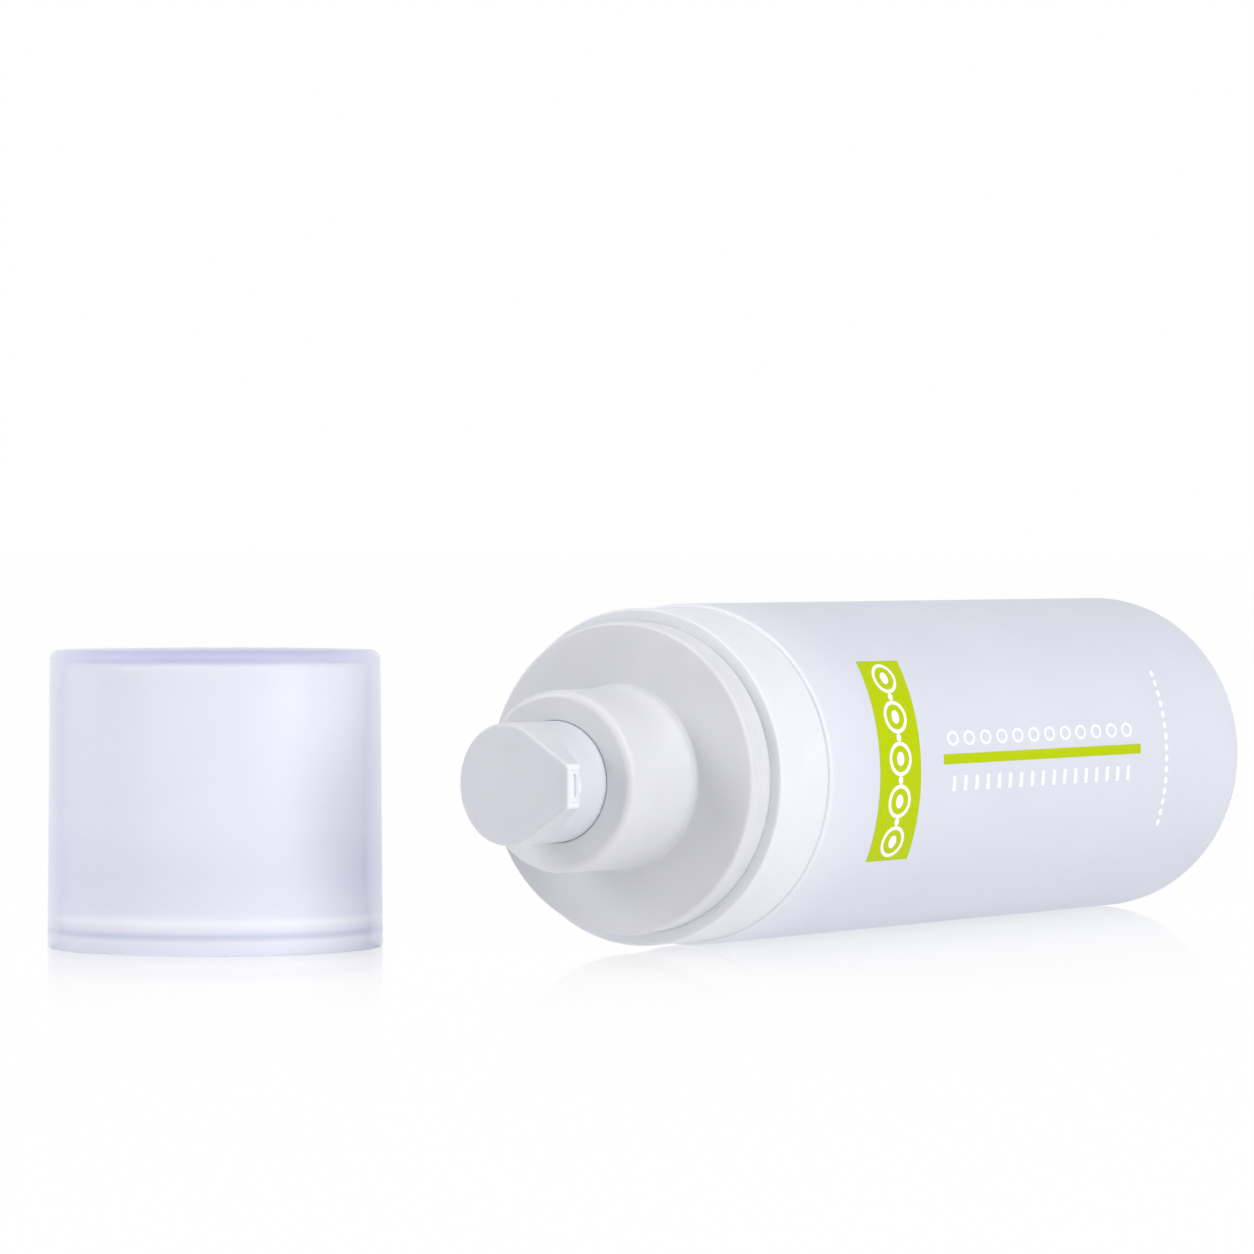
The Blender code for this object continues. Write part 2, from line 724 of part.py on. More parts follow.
def make_return_spring():
    """A coil with a closed turn at each end, between the housing's cap and the head."""
    wire_radius = SPRING_WIRE_DIAMETER / 2
    coil_radius = (socket_outer_radius + head_inner_radius) / 2
    low = housing_cap_top + SEAT_GAP + wire_radius
    high = pocket_top - SEAT_GAP - wire_radius
    end_pitch = SPRING_WIRE_DIAMETER + SEAT_GAP + SEAT_GAP
    end_rise = end_pitch * SPRING_END_TURNS
    open_turns = SPRING_TURNS - 2 * SPRING_END_TURNS
    curve = bpy.data.curves.new("return_spring", "CURVE")
    curve.dimensions = "3D"
    curve.bevel_depth = wire_radius
    curve.bevel_resolution = 1
    curve.use_fill_caps = True
    wire = curve.splines.new("POLY")
    count = SPRING_TURNS * SPRING_POINTS_A_TURN + 1
    wire.points.add(count - 1)
    for k, place in enumerate(wire.points):
        turn = k / SPRING_POINTS_A_TURN
        if turn <= SPRING_END_TURNS:
            height = low + end_pitch * turn
        elif turn >= SPRING_TURNS - SPRING_END_TURNS:
            height = high - end_pitch * (SPRING_TURNS - turn)
        else:
            middle_share = (turn - SPRING_END_TURNS) / open_turns
            height = low + end_rise + (high - low - 2 * end_rise) * middle_share
        angle = math.tau * turn
        place.co = (coil_radius * math.cos(angle), coil_radius * math.sin(angle), height, 1)
    holder = bpy.data.objects.new("return_spring_wire", curve)
    cutters.objects.link(holder)
    mesh = plain_mesh(holder)
    mesh.shade_smooth()
    part("return_spring", mesh, bottle_axis)


def make_pump_cover():
    """The moulded disc and boss: one wall outside, a guide tube for the head inside, a core between."""
    bead_height = collar_top + SEAT_GAP + CAP_GROOVE_HEIGHT
    bead_half = COVER_BEAD_HEIGHT / 2
    disc_ceiling = disc_top - DISC_WALL
    core_radius = boss_radius - BOSS_WALL
    core_top = boss_top - BOSS_FRONT_WALL
    guide_bottom = housing_cap_top + SEAT_GAP
    skirt_bottom = collar_web_top + SEAT_GAP
    corners = [
        (guide_bore_radius, boss_top, GUIDE_EDGE_RADIUS, 2),
        (boss_radius - BOSS_DRAFT, boss_top, BOSS_EDGE_RADIUS),
        (boss_radius, disc_top, BOSS_ROOT_RADIUS, 2),
        (cover_radius, disc_top, DISC_EDGE_RADIUS, 2),
        (cover_radius, bead_height + bead_half),
        (cover_radius + COVER_BEAD, bead_height),
        (cover_radius, bead_height - bead_half),
        (cover_radius, skirt_bottom),
        (cover_skirt_radius, skirt_bottom),
        (cover_skirt_radius, disc_ceiling),
        (core_radius, disc_ceiling),
        (core_radius, core_top),
        (guide_radius, core_top),
        (guide_radius, guide_bottom),
        (guide_bore_radius, guide_bottom),
    ]
    turned("pump_cover", corners, BODY_STEPS, bottle_axis)


def snout_plan():
    """The snout's outline from above: two flats from the round head to its narrow end."""
    half = SNOUT_WIDTH / 2
    corner_distance = math.hypot(SNOUT_REACH, half)
    tangent = math.atan2(half, SNOUT_REACH) + math.acos(head_radius / corner_distance)
    root = head_radius - SNOUT_SINK
    root_x = root * math.cos(tangent)
    root_y = root * math.sin(tangent)
    return [
        (0, -half),
        (root_x, -root_y),
        (SNOUT_REACH, -half),
        (SNOUT_REACH, half),
        (root_x, root_y),
        (0, half),
    ]


def make_actuator():
    """The head: a round cup with a snout, cut by its sloping top, over a socket for the stem."""
    above = snout_top + CUT_OVERRUN
    below = head_bottom - CUT_OVERRUN
    length = above - head_bottom
    barrel = rod("actuator", head_radius, length, HEAD_STEPS)
    barrel.transform(Matrix.Translation((0, 0, head_bottom + length / 2)))
    head = part("actuator", barrel, head_axis)

    undercut_angle = math.atan2(SNOUT_UNDERCUT, SNOUT_REACH - head_radius)
    snout_root = snout_bottom - SNOUT_UNDERCUT - head_radius * math.tan(undercut_angle)
    snout_mesh = prism("snout", snout_plan(), snout_root, above)
    snout = cutter("snout", snout_mesh, head_axis)
    wide = 2 * SNOUT_REACH
    underside_mesh = block("snout_underside", (-wide, -wide, -wide), (wide, wide, 0))
    underside = cutter("snout_underside", underside_mesh, head_axis, (SNOUT_REACH, 0, snout_bottom))
    underside.rotation_euler.y = -undercut_angle
    boolean(snout, underside)
    boolean(head, snout, "UNION")

    slope_mesh = block("crown_slope", (-wide, -wide, 0), (wide, wide, wide))
    slope = cutter("crown_slope", slope_mesh, head_axis, (0, 0, crown_height(0)))
    slope.rotation_euler.y = -HEAD_SLOPE
    boolean(head, slope)

    edges = head.modifiers.new("edges", "BEVEL")
    edges.width = HEAD_EDGE_RADIUS
    edges.segments = 2
    edges.limit_method = "ANGLE"
    edges.angle_limit = math.radians(30)

    riser_top = crown_height(0) - CHANNEL_DEPTH
    tube_radius = channel_radius + SNOUT_TUBE_WALL
    tube_tip = SNOUT_REACH - SNOUT_SINK - tube_radius * math.sin(HEAD_SLOPE)
    tube_length = tube_tip / math.cos(HEAD_SLOPE)
    tube_mesh = rod("snout_tube", tube_radius, tube_length, STEM_STEPS)
    tube_mesh.transform(Matrix.Translation((0, 0, tube_length / 2)))
    tube = cutter("snout_tube", tube_mesh, head_axis, (0, 0, riser_top))
    tube.rotation_euler.y = math.pi / 2 - HEAD_SLOPE
    boolean(head, tube, "UNION")

    corners = [
        (0, riser_top),
        (riser_radius, riser_top),
        (riser_radius, socket_end),
        (socket_radius, socket_end),
        (socket_radius, stem_top - SOCKET_DEPTH),
        (socket_outer_radius, stem_top - SOCKET_DEPTH),
        (socket_outer_radius, pocket_top),
        (head_inner_radius, pocket_top),
        (head_inner_radius, below),
        (0, below),
    ]
    hollow = cutter("head_hollow", profile_mesh("head_hollow", corners, False), head_axis)
    screw(hollow, PUMP_STEPS)
    boolean(head, hollow)

    channel_mesh = rod("head_channel", channel_radius, SNOUT_REACH - INSERT_DEPTH / 2, STEM_STEPS)
    channel_mesh.transform(Matrix.Translation((0, 0, (SNOUT_REACH - INSERT_DEPTH / 2) / 2)))
    channel = cutter("head_channel", channel_mesh, head_axis, (0, 0, riser_top))
    channel.rotation_euler.y = math.pi / 2 - HEAD_SLOPE
    boolean(head, channel)

    half_width = INSERT_WIDTH / 2 + INSERT_GAP
    half_height = INSERT_HEIGHT / 2 + INSERT_GAP
    depth = INSERT_DEPTH + INSERT_GAP
    pocket_mesh = block("insert_pocket", (-depth, -half_width, -half_height), (CUT_OVERRUN, half_width, half_height))
    pocket = cutter("insert_pocket", pocket_mesh, head_axis, (SNOUT_REACH, 0, (snout_top + snout_bottom) / 2))
    boolean(head, pocket)


def make_nozzle_insert():
    """A flat plug flush with the snout's end, with a round-ended slot through it."""
    middle = (SNOUT_REACH, 0, (snout_top + snout_bottom) / 2)
    low = (-INSERT_DEPTH, -INSERT_WIDTH / 2, -INSERT_HEIGHT / 2)
    high = (0, INSERT_WIDTH / 2, INSERT_HEIGHT / 2)
    insert = part("nozzle_insert", block("nozzle_insert", low, high), head_axis, middle)
    end_radius = SLOT_HEIGHT / 2
    end_middle = SLOT_WIDTH / 2 - end_radius
    points = []
    for k in range(STEM_STEPS + 1):
        angle = math.tau * k / STEM_STEPS - math.pi / 2
        side = end_middle if k <= STEM_STEPS / 2 else -end_middle
        points.append((side + end_radius * math.cos(angle), end_radius * math.sin(angle)))
    slot_mesh = prism("nozzle_slot", points, -INSERT_DEPTH - CUT_OVERRUN, CUT_OVERRUN)
    slot_mesh.transform(Matrix(((0, 0, 1, 0), (1, 0, 0, 0), (0, 1, 0, 0), (0, 0, 0, 1))))
    slot = cutter("nozzle_slot", slot_mesh, head_axis, middle)
    boolean(insert, slot)


def make_cap():
    recess_radius = cover_radius + CAP_CLEARANCE
    groove_radius = recess_radius + COVER_BEAD
    groove_half = COVER_BEAD_HEIGHT / 2
    inner_radius = cap_radius - CAP_WALL
    ceiling = CAP_HEIGHT - CAP_PLATE
    corners = [
        (0, CAP_HEIGHT),
        (cap_radius - CAP_DRAFT, CAP_HEIGHT, CAP_TOP_EDGE_RADIUS, 4),
        (cap_radius, 0, CAP_RIM_EDGE_RADIUS, 2),
        (recess_radius + CAP_RIM_EDGE_RADIUS, 0),
        (recess_radius, CAP_RIM_EDGE_RADIUS),
        (recess_radius, CAP_GROOVE_HEIGHT - groove_half),
        (groove_radius, CAP_GROOVE_HEIGHT),
        (recess_radius, CAP_GROOVE_HEIGHT + groove_half),
        (recess_radius, CAP_RECESS_HEIGHT),
        (inner_radius, CAP_RECESS_HEIGHT + CAP_LEDGE_TAPER),
        (inner_radius - CAP_DRAFT, ceiling, CAP_INNER_FILLET),
        (0, ceiling),
    ]
    turned("cap", corners, BODY_STEPS, cap_axis, closed=False)


clear_scene()
parts = new_collection("airless_pump_bottle")
cutters = new_collection("cutters")

# Local X looks along -Y, local Y along +Z, and local Z, the way the pump points, along -X
laid_down = Matrix(((0, 0, -1, 0), (-1, 0, 0, 0), (0, 1, 0, 0), (0, 0, 0, 1)))
bottle_axis = new_axis("bottle_axis", Matrix.Translation((base_x, bottle_y, body_radius)) @ laid_down)
head_axis = new_axis("head_axis", Matrix.Translation((base_x, bottle_y, body_radius)) @ laid_down)
cap_axis = new_axis("cap_axis", Matrix.Translation((base_x - cap_along, bottle_y + cap_beside, 0)))

make_outer_bottle()
make_inner_vessel()
make_vessel_base()
make_follower_piston()
make_shoulder_collar()
make_closure_ring()
make_neck_gasket()
make_pump_housing()
make_housing_cap()
make_stem()
make_chamber_piston()
ball("inlet_ball", inlet_ball_radius, bottle_axis, inlet_ball_height)
ball("outlet_ball", outlet_ball_radius, head_axis, outlet_ball_height)
make_return_spring()
make_pump_cover()
make_actuator()
make_nozzle_insert()
make_cap()
bpy.context.view_layer.update()
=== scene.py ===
"""Looks of an airless pump bottle lying on its side, with its frosted cap standing beside it."""

import json
import math

import bmesh
import bpy
from mathutils import Matrix, Vector


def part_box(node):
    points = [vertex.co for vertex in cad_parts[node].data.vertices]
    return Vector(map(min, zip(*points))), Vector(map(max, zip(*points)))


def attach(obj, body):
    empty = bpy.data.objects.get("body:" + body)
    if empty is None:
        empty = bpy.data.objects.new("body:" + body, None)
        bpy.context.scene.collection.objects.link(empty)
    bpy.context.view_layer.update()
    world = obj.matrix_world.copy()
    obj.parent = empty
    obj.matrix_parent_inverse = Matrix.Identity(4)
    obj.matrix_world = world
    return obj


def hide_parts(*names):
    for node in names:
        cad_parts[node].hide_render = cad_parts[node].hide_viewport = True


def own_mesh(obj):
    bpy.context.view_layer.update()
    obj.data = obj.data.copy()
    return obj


MM = 0.001

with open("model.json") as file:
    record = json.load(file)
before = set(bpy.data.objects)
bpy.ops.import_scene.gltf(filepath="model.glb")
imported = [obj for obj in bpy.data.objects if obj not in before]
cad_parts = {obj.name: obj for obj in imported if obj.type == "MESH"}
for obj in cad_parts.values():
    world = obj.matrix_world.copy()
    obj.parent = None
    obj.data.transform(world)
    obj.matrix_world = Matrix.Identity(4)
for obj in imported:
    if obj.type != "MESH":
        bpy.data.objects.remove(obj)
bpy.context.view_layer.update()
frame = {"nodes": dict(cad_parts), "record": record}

# Places that the frame gives
bottle_low, bottle_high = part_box("outer_bottle")
body_radius = (bottle_high.z - bottle_low.z) / 2
axis_y = (bottle_high.y + bottle_low.y) / 2
axis_z = (bottle_high.z + bottle_low.z) / 2
base_x = bottle_high.x
cap_low, cap_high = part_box("cap")
cap_middle = (cap_low + cap_high) / 2

# Local X is the snout's side, local Y is up, local Z runs from the base to the pump
LAID_DOWN = Matrix(((0, 0, -1, base_x), (-1, 0, 0, axis_y), (0, 1, 0, axis_z), (0, 0, 0, 1)))
STANDING = Matrix.Translation((cap_middle.x, cap_middle.y, cap_low.z))


def span(node):
    """Lowest and highest height of a node along the bottle's axis, from its base."""
    low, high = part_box(node)
    return base_x - high.x, base_x - low.x


def reach(node):
    """Largest radius of a node round the bottle's axis."""
    low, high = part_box(node)
    return max(high.z - axis_z, high.y - axis_y)


mouth = span("outer_bottle")[1]
collar_bottom, collar_top = span("shoulder_collar")
collar_radius = reach("shoulder_collar")
skirt_bottom, boss_top = span("pump_cover")
head_bottom, snout_top = span("actuator")
stem_top = span("stem")[1]

# How finely the pieces are made
LATHE_STEPS = 192
FILLET_STEPS = 6
BASE_STEPS = 24
INNER_BASE_STEPS = 16
WIDE_EDGE_STEPS = 10
HEAD_ROUND_STEPS = 60
HEAD_FLAT_STEPS = 12
ROD_SIDES = 64
SLOT_END_STEPS = 16
SHARP_ANGLE = math.radians(40)
GUARD = 0.12 * MM
WELD = 0.0005 * MM
SHORT_SIDE_SHARE = 0.45

# Outer bottle
BODY_WALL = 1.5 * MM
BASE_CORNER_RADIUS = 6.6 * MM
PUNT_DEPTH = 0.8 * MM
BASE_FLOOR = 2.8 * MM
FOOT_RADIUS = 12.35 * MM
FOOT_EDGE = 0.4 * MM
VENT_RADIUS = 1.0 * MM
MOUTH_EDGE = 0.45 * MM
FLANGE_SEAT_WIDTH = 0.6 * MM
FLANGE_SEAT_DEPTH = 1.5 * MM

# Collar, disc and boss
COLLAR_EDGE = 0.3 * MM
COLLAR_LOWER_EDGE = 0.1 * MM
COLLAR_WEB = 1.4 * MM
COLLAR_WEB_RADIUS = 16.0 * MM
CAP_SEAT_WIDTH = 1.65 * MM
SEAT_GAP = 0.3 * MM
TOUCH_GAP = 0.02 * MM
CAP_SEAT_LIP = 1.2 * MM
DISC_HEIGHT = 4.22 * MM
DISC_EDGE = 0.45 * MM
DISC_WALL = 1.5 * MM
SKIRT_WALL = 1.2 * MM
BEAD_PROUD = 0.12 * MM
BEAD_HEIGHT = 1.0 * MM
BEAD_ABOVE_SEAT = 2.65 * MM
BOSS_RADIUS = 11.4 * MM
BOSS_DRAFT = 0.1 * MM
BOSS_EDGE = 1.0 * MM
BOSS_ROOT = 0.45 * MM
BOSS_WALL = 1.3 * MM
BOSS_FRONT_WALL = 1.6 * MM
GUIDE_BORE = 7.512 * MM
GUIDE_WALL = 1.2 * MM
GUIDE_EDGE = 0.25 * MM
GUIDE_LENGTH = 13.9 * MM

# Head
HEAD_RADIUS = 7.5 * MM
HEAD_INNER_RADIUS = 6.3 * MM
HEAD_EDGE = 0.4 * MM
HEAD_FOOT_EDGE = 0.2 * MM
HEAD_SLOPE = math.radians(8.9)
CROWN_THICKNESS = 2.4 * MM
CROWN_FLAT_SHARE = 0.93
SNOUT_REACH = 10.4 * MM
SNOUT_WIDTH = 5.0 * MM
SNOUT_HEIGHT = 2.48 * MM
SNOUT_CORNER = 0.5 * MM
SNOUT_UNDERCUT = 2.1 * MM
SNOUT_TUBE_RADIUS = 1.6 * MM
SNOUT_TUBE_LENGTH = 3.4 * MM
SNOUT_TUBE_INSET = 0.03 * MM
SOCKET_RADIUS = 3.3 * MM
SOCKET_OUTER_RADIUS = 4.5 * MM
SOCKET_DEPTH = 6.0 * MM
RISER_RADIUS = 1.0 * MM
CHANNEL_RADIUS = 0.8 * MM
CHANNEL_DEPTH = 1.55 * MM
TIP_END_DEPTH = 0.5 * MM
TIP_FACING = 0.3
INSERT_WIDTH = 3.9 * MM
INSERT_HEIGHT = 1.7 * MM
INSERT_DEPTH = 1.8 * MM
INSERT_EDGE = 0.05 * MM
INSERT_FIT = 0.01 * MM
SLOT_WIDTH = 3.1 * MM
SLOT_HEIGHT = 1.0 * MM
SLOT_DEPTH = 0.35 * MM

# Cap
CAP_DRAFT = 0.3 * MM
CAP_PLATE = 1.65 * MM
CAP_WALL = 1.95 * MM
CAP_TOP_EDGE = 1.2 * MM
CAP_RIM_EDGE = 0.25 * MM
CAP_CORNER = 1.0 * MM
CAP_RECESS_RADIUS = 19.75 * MM
CAP_RECESS_HEIGHT = 4.2 * MM
CAP_LEDGE_TAPER = 0.7 * MM
CAP_LEDGE_EDGE = 0.3 * MM
CAP_GROOVE_HEIGHT = 2.35 * MM

# Vessel inside the bottle
VESSEL_WALL = 1.2 * MM
VESSEL_RADIUS = 19.85 * MM
FLANGE_THICKNESS = 1.2 * MM
SHOULDER_THICKNESS = 1.6 * MM
SHOULDER_FILLET = 0.8 * MM
NECK_RADIUS = 15.7 * MM
NECK_WALL = 1.3 * MM
NECK_EDGE = 0.2 * MM
NECK_BEAD = 0.5 * MM
NECK_BEAD_HEIGHT = 3.6 * MM

flange_edge = body_radius - BODY_WALL + FLANGE_SEAT_WIDTH - SEAT_GAP


# Ways of making a mesh
def corner_arc(before, corner, after, radius, steps):
    """Points of the arc that rounds a corner, from the side before it to the one after it."""
    to_before = before - corner
    to_after = after - corner
    half = to_before.angle(to_after) / 2
    start = corner + to_before.normalized() * (radius / math.tan(half))
    middle_way = (to_before.normalized() + to_after.normalized()).normalized()
    middle = corner + middle_way * (radius / math.sin(half))
    turn = math.pi - 2 * half
    if to_before.cross(to_after) > 0:
        turn = -turn
    arm = start - middle
    return [middle + Matrix.Rotation(turn * k / steps, 2) @ arm for k in range(steps + 1)]


def fillet(before, corner, after, radius, steps):
    """Arc that rounds a corner, with a guard point on each side that keeps the flats flat."""
    arc = corner_arc(before, corner, after, radius, steps)
    reach_back = (arc[0] - corner).length
    sides = ((before - corner, arc[0], 0), (after - corner, arc[-1], len(arc) + 1))
    for side, end, at in sides:
        if side.length - reach_back > 3 * GUARD:
            arc.insert(at, end + side.normalized() * GUARD)
    return arc


def outline(corners):
    """Profile points from corners (radius, height[, fillet radius[, fillet steps]])."""
    spots = [Vector(corner[:2]) for corner in corners]
    points = []
    for k, corner in enumerate(corners):
        radius = corner[2] if len(corner) > 2 else 0
        steps = corner[3] if len(corner) > 3 else FILLET_STEPS
        if radius > 0:
            after = spots[(k + 1) % len(spots)]
            points += fillet(spots[k - 1], spots[k], after, radius, steps)
        else:
            points.append(spots[k])
    return points


def new_piece(name, data):
    piece = bpy.data.objects.new(name, data)
    bpy.context.scene.collection.objects.link(piece)
    return piece


def close_up(build, name, place=None):
    """A mesh from a bmesh: welded, facing out, smooth with sharp edges, and in its place."""
    bmesh.ops.remove_doubles(build, verts=build.verts, dist=WELD)
    bmesh.ops.recalc_face_normals(build, faces=build.faces)
    mesh = bpy.data.meshes.new(name)
    build.to_mesh(mesh)
    build.free()
    if place is not None:
        mesh.transform(place)
    mesh.shade_smooth()
    mesh.set_sharp_from_angle(angle=SHARP_ANGLE)
    return mesh


def loft(build, columns, closed=False, around=True):
    """Faces between columns of points that stand round a piece, each running down it."""
    grid = [[build.verts.new(point) for point in column] for column in columns]
    rows = len(grid[0])
    following = grid[1:] + grid[:1] if around else grid[1:]
    for left, right in zip(grid, following):
        for j in range(rows if closed else rows - 1):
            below = (j + 1) % rows
            build.faces.new((left[j], left[below], right[below], right[j]))
    return grid


def lathe(name, corners, place=LAID_DOWN, closed=True):
    points = outline(corners)
    columns = []
    for k in range(LATHE_STEPS):
        angle = math.tau * k / LATHE_STEPS
        columns.append([(p.x * math.cos(angle), p.x * math.sin(angle), p.y) for p in points])
    build = bmesh.new()
    loft(build, columns, closed)
    return new_piece(name, close_up(build, name, place))


def box_tool(name, low, high, place=LAID_DOWN):
    build = bmesh.new()
    bmesh.ops.create_cube(build, size=1)
    size = Matrix.Diagonal((*(Vector(high) - Vector(low)), 1))
    middle = Matrix.Translation((Vector(high) + Vector(low)) / 2)
    bmesh.ops.transform(build, matrix=middle @ size, verts=build.verts)
    return new_piece(name, close_up(build, name, place))


def baked(piece):
    """The piece with its modifiers made real, as a plain mesh at the origin."""
    bpy.context.view_layer.update()
    graph = bpy.context.evaluated_depsgraph_get()
    mesh = bpy.data.meshes.new_from_object(piece.evaluated_get(graph))
    piece.modifiers.clear()
    piece.data = mesh
    return piece


def carve(piece, tool, operation="DIFFERENCE"):
    """Cuts or joins with a tool, which is then removed."""
    step = piece.modifiers.new(operation.lower(), "BOOLEAN")
    step.operation = operation
    step.object = tool
    step.solver = "EXACT"
    baked(piece)
    bpy.data.objects.remove(tool)
    piece.data.shade_smooth()
    piece.data.set_sharp_from_angle(angle=SHARP_ANGLE)


bodies = frame["record"]["behaviour"]["bodies"]
piece_body = {node: body for body, nodes in bodies.items() for node in nodes}


def stand_for(piece, node, material):
    """The piece rides where the node rides, and is shown in its place."""
    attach(piece, piece_body[node])
    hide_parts(node)
    piece.data.materials.clear()
    piece.data.materials.append(material)


# Materials
NOISE_LOW = 0.35
NOISE_HIGH = 0.65
FROST_CLOUD = 45
FROST_CLOUD_BUMP = 0.02 * MM
FROST_GRAIN = 1400
FROST_GRAIN_BUMP = 0.01 * MM
FROST_ROUGHNESS = 0.38
FROST_ROUGHNESS_SPREAD = 0.1
FROST_LIGHT_SPREAD = (0.9, 0.9, 1.0)
FROST_LIGHT_DEPTH = 1.0 * MM
BODY_SOFTNESS = 0.15
BODY_IOR = 1.33
# Painted highlight: the bottle's frost is painted paler towards its mouth, where light falls near
# the collar.
MOUTH_HIGHLIGHT = (0.745, 0.765, 0.84, 1)
MOUTH_HIGHLIGHT_REACH = 16 * MM
# Painted light: the mouth's thin edge is painted palest, which lifts the shade where the bottle
# meets the collar.
MOUTH_GLOW = (0.89, 0.895, 0.95, 1)
MOUTH_GLOW_REACH = 0.5 * MM
CAP_SOFTNESS = 0.1
CAP_SKIN_ROUGHNESS = 0.31
CAP_HIDING = 0.35
CAP_TINT = (0.38, 0.37, 0.84, 1)
CAP_TINT_DENSITY = 32.0
# Painted shade: the cap's wall is painted darker in a broad band low down and in a narrow band at
# its rim.
CAP_SHADE = (0.87, 0.88, 0.945, 1)
CAP_SHADE_HEIGHT = 9.24 * MM
CAP_SHADE_REACH = 8.0 * MM
CAP_RIM_SHADE_REACH = 1.9 * MM
# Painted shade: a grey line painted round the cap where the groove in its rim lies.
CAP_GROOVE_SHADE = (0.69, 0.73, 0.82, 1)
CAP_GROOVE_SHADE_REACH = 0.8 * MM
# Painted highlight: a white ring painted round the cap at the ledge inside its rim.
CAP_RING_HIGHLIGHT = (1.0, 1.0, 1.0, 1)
CAP_RING_HIGHLIGHT_HEIGHT = 4.0 * MM
CAP_RING_HIGHLIGHT_REACH = 0.9 * MM
MOULD_RIPPLE = 160
MOULD_RIPPLE_BUMP = 0.012 * MM
MOULD_GRAIN = 2600
MOULD_GRAIN_BUMP = 0.004 * MM
MOULD_ROUGHNESS = 0.36
MOULD_SMOOTHER = 0.04
MOULD_ROUGHER = 0.05
MOULD_SOFTNESS = 0.15
MOULD_LIGHT_SPREAD = (1.0, 0.75, 0.55)
MOULD_LIGHT_DEPTH = 1.5 * MM
INK_GRAIN = 2800
INK_GRAIN_BUMP = 0.006 * MM
INK_SMOOTH = 0.32
INK_ROUGH = 0.45
INK_SHINE = 0.03
WIRE_GRAIN_BUMP = 0.003 * MM
WIRE_SMOOTH = 0.18
WIRE_ROUGH = 0.32
GLASS_SMOOTH = 0.02
GLASS_ROUGH = 0.06
COARSE_DETAIL = 3.0
FINE_DETAIL = 4.0


def new_material(name):
    material = bpy.data.materials.new(name)
    material.use_nodes = True
    tree = material.node_tree
    return material, tree, tree.nodes["Principled BSDF"]


def add(tree, kind, **values):
    """A node with its settings and the values of its sockets."""
    node = tree.nodes.new(kind)
    for key, value in values.items():
        if hasattr(node, key):
            setattr(node, key, value)
        else:
            node.inputs[key.replace("_", " ").title()].default_value = value
    return node


def reckon(tree, operation, *terms):
    """One step of arithmetic on sockets and plain numbers."""
    step = add(tree, "ShaderNodeMath", operation=operation)
    for socket, term in zip(step.inputs, terms):
        if isinstance(term, (int, float)):
            socket.default_value = term
        else:
            tree.links.new(term, socket)
    return step.outputs["Value"]


def object_axes(tree):
    """Outputs X, Y and Z of a point's place on its object."""
    place = add(tree, "ShaderNodeTexCoord")
    axes = add(tree, "ShaderNodeSeparateXYZ")
    tree.links.new(place.outputs["Object"], axes.inputs["Vector"])
    return axes.outputs


def object_noise(tree, scale, detail=2.0):
    place = add(tree, "ShaderNodeTexCoord")
    noise = add(tree, "ShaderNodeTexNoise", scale=scale, detail=detail)
    tree.links.new(place.outputs["Object"], noise.inputs["Vector"])
    return noise.outputs["Fac"]


def between(tree, factor, low, high):
    """A number that runs from low to high over the middle of a noise."""
    middle = {"from_min": NOISE_LOW, "from_max": NOISE_HIGH}
    ramp = add(tree, "ShaderNodeMapRange", to_min=low, to_max=high, **middle)
    tree.links.new(factor, ramp.inputs["Value"])
    return ramp.outputs["Result"]


def two_tone(tree, factor, low, high):
    mix = add(tree, "ShaderNodeMix", data_type="RGBA", a=low, b=high)
    tree.links.new(between(tree, factor, 0, 1), mix.inputs["Factor"])
    return mix.outputs["Result"]


def coloured(tree, shader, pattern, pale, deep):
    tree.links.new(two_tone(tree, pattern, pale, deep), shader.inputs["Base Color"])


def roughened(tree, shader, pattern, smooth, rough):
    tree.links.new(between(tree, pattern, smooth, rough), shader.inputs["Roughness"])


def bumped(tree, shader, heights):
    """Chains bumps of (height, distance), the broadest first."""
    normal = None
    for height, distance in heights:
        bump = add(tree, "ShaderNodeBump", distance=distance)
        tree.links.new(height, bump.inputs["Height"])
        if normal is not None:
            tree.links.new(normal, bump.inputs["Normal"])
        normal = bump.outputs["Normal"]
    tree.links.new(normal, shader.inputs["Normal"])


def lit_within(shader, share, spread, depth):
    """Lets a share of the light travel under the skin."""
    shader.inputs["Subsurface Weight"].default_value = share
    shader.inputs["Subsurface Radius"].default_value = spread
    shader.inputs["Subsurface Scale"].default_value = depth


def frost(name, pale, deep, softness, rough=FROST_ROUGHNESS):
    """Milky plastic with a fine frosted grain, faintly clouded, and light under its skin."""
    material, tree, shader = new_material(name)
    cloud = object_noise(tree, FROST_CLOUD, COARSE_DETAIL)
    grain = object_noise(tree, FROST_GRAIN)
    coloured(tree, shader, cloud, pale, deep)
    roughened(tree, shader, grain, rough, rough + FROST_ROUGHNESS_SPREAD)
    lit_within(shader, softness, FROST_LIGHT_SPREAD, FROST_LIGHT_DEPTH)
    bumped(tree, shader, [(cloud, FROST_CLOUD_BUMP), (grain, FROST_GRAIN_BUMP)])
    return material, tree, shader


def band_along(tree, axis, at, half):
    """1 at one place along an axis of the object, fading to 0 on both sides of it."""
    away = reckon(tree, "SUBTRACT", object_axes(tree)[axis], at)
    fade = add(tree, "ShaderNodeMapRange", from_max=half, to_min=1, to_max=0)
    fade.interpolation_type = "SMOOTHSTEP"
    tree.links.new(reckon(tree, "ABSOLUTE", away), fade.inputs["Value"])
    return fade.outputs["Result"]


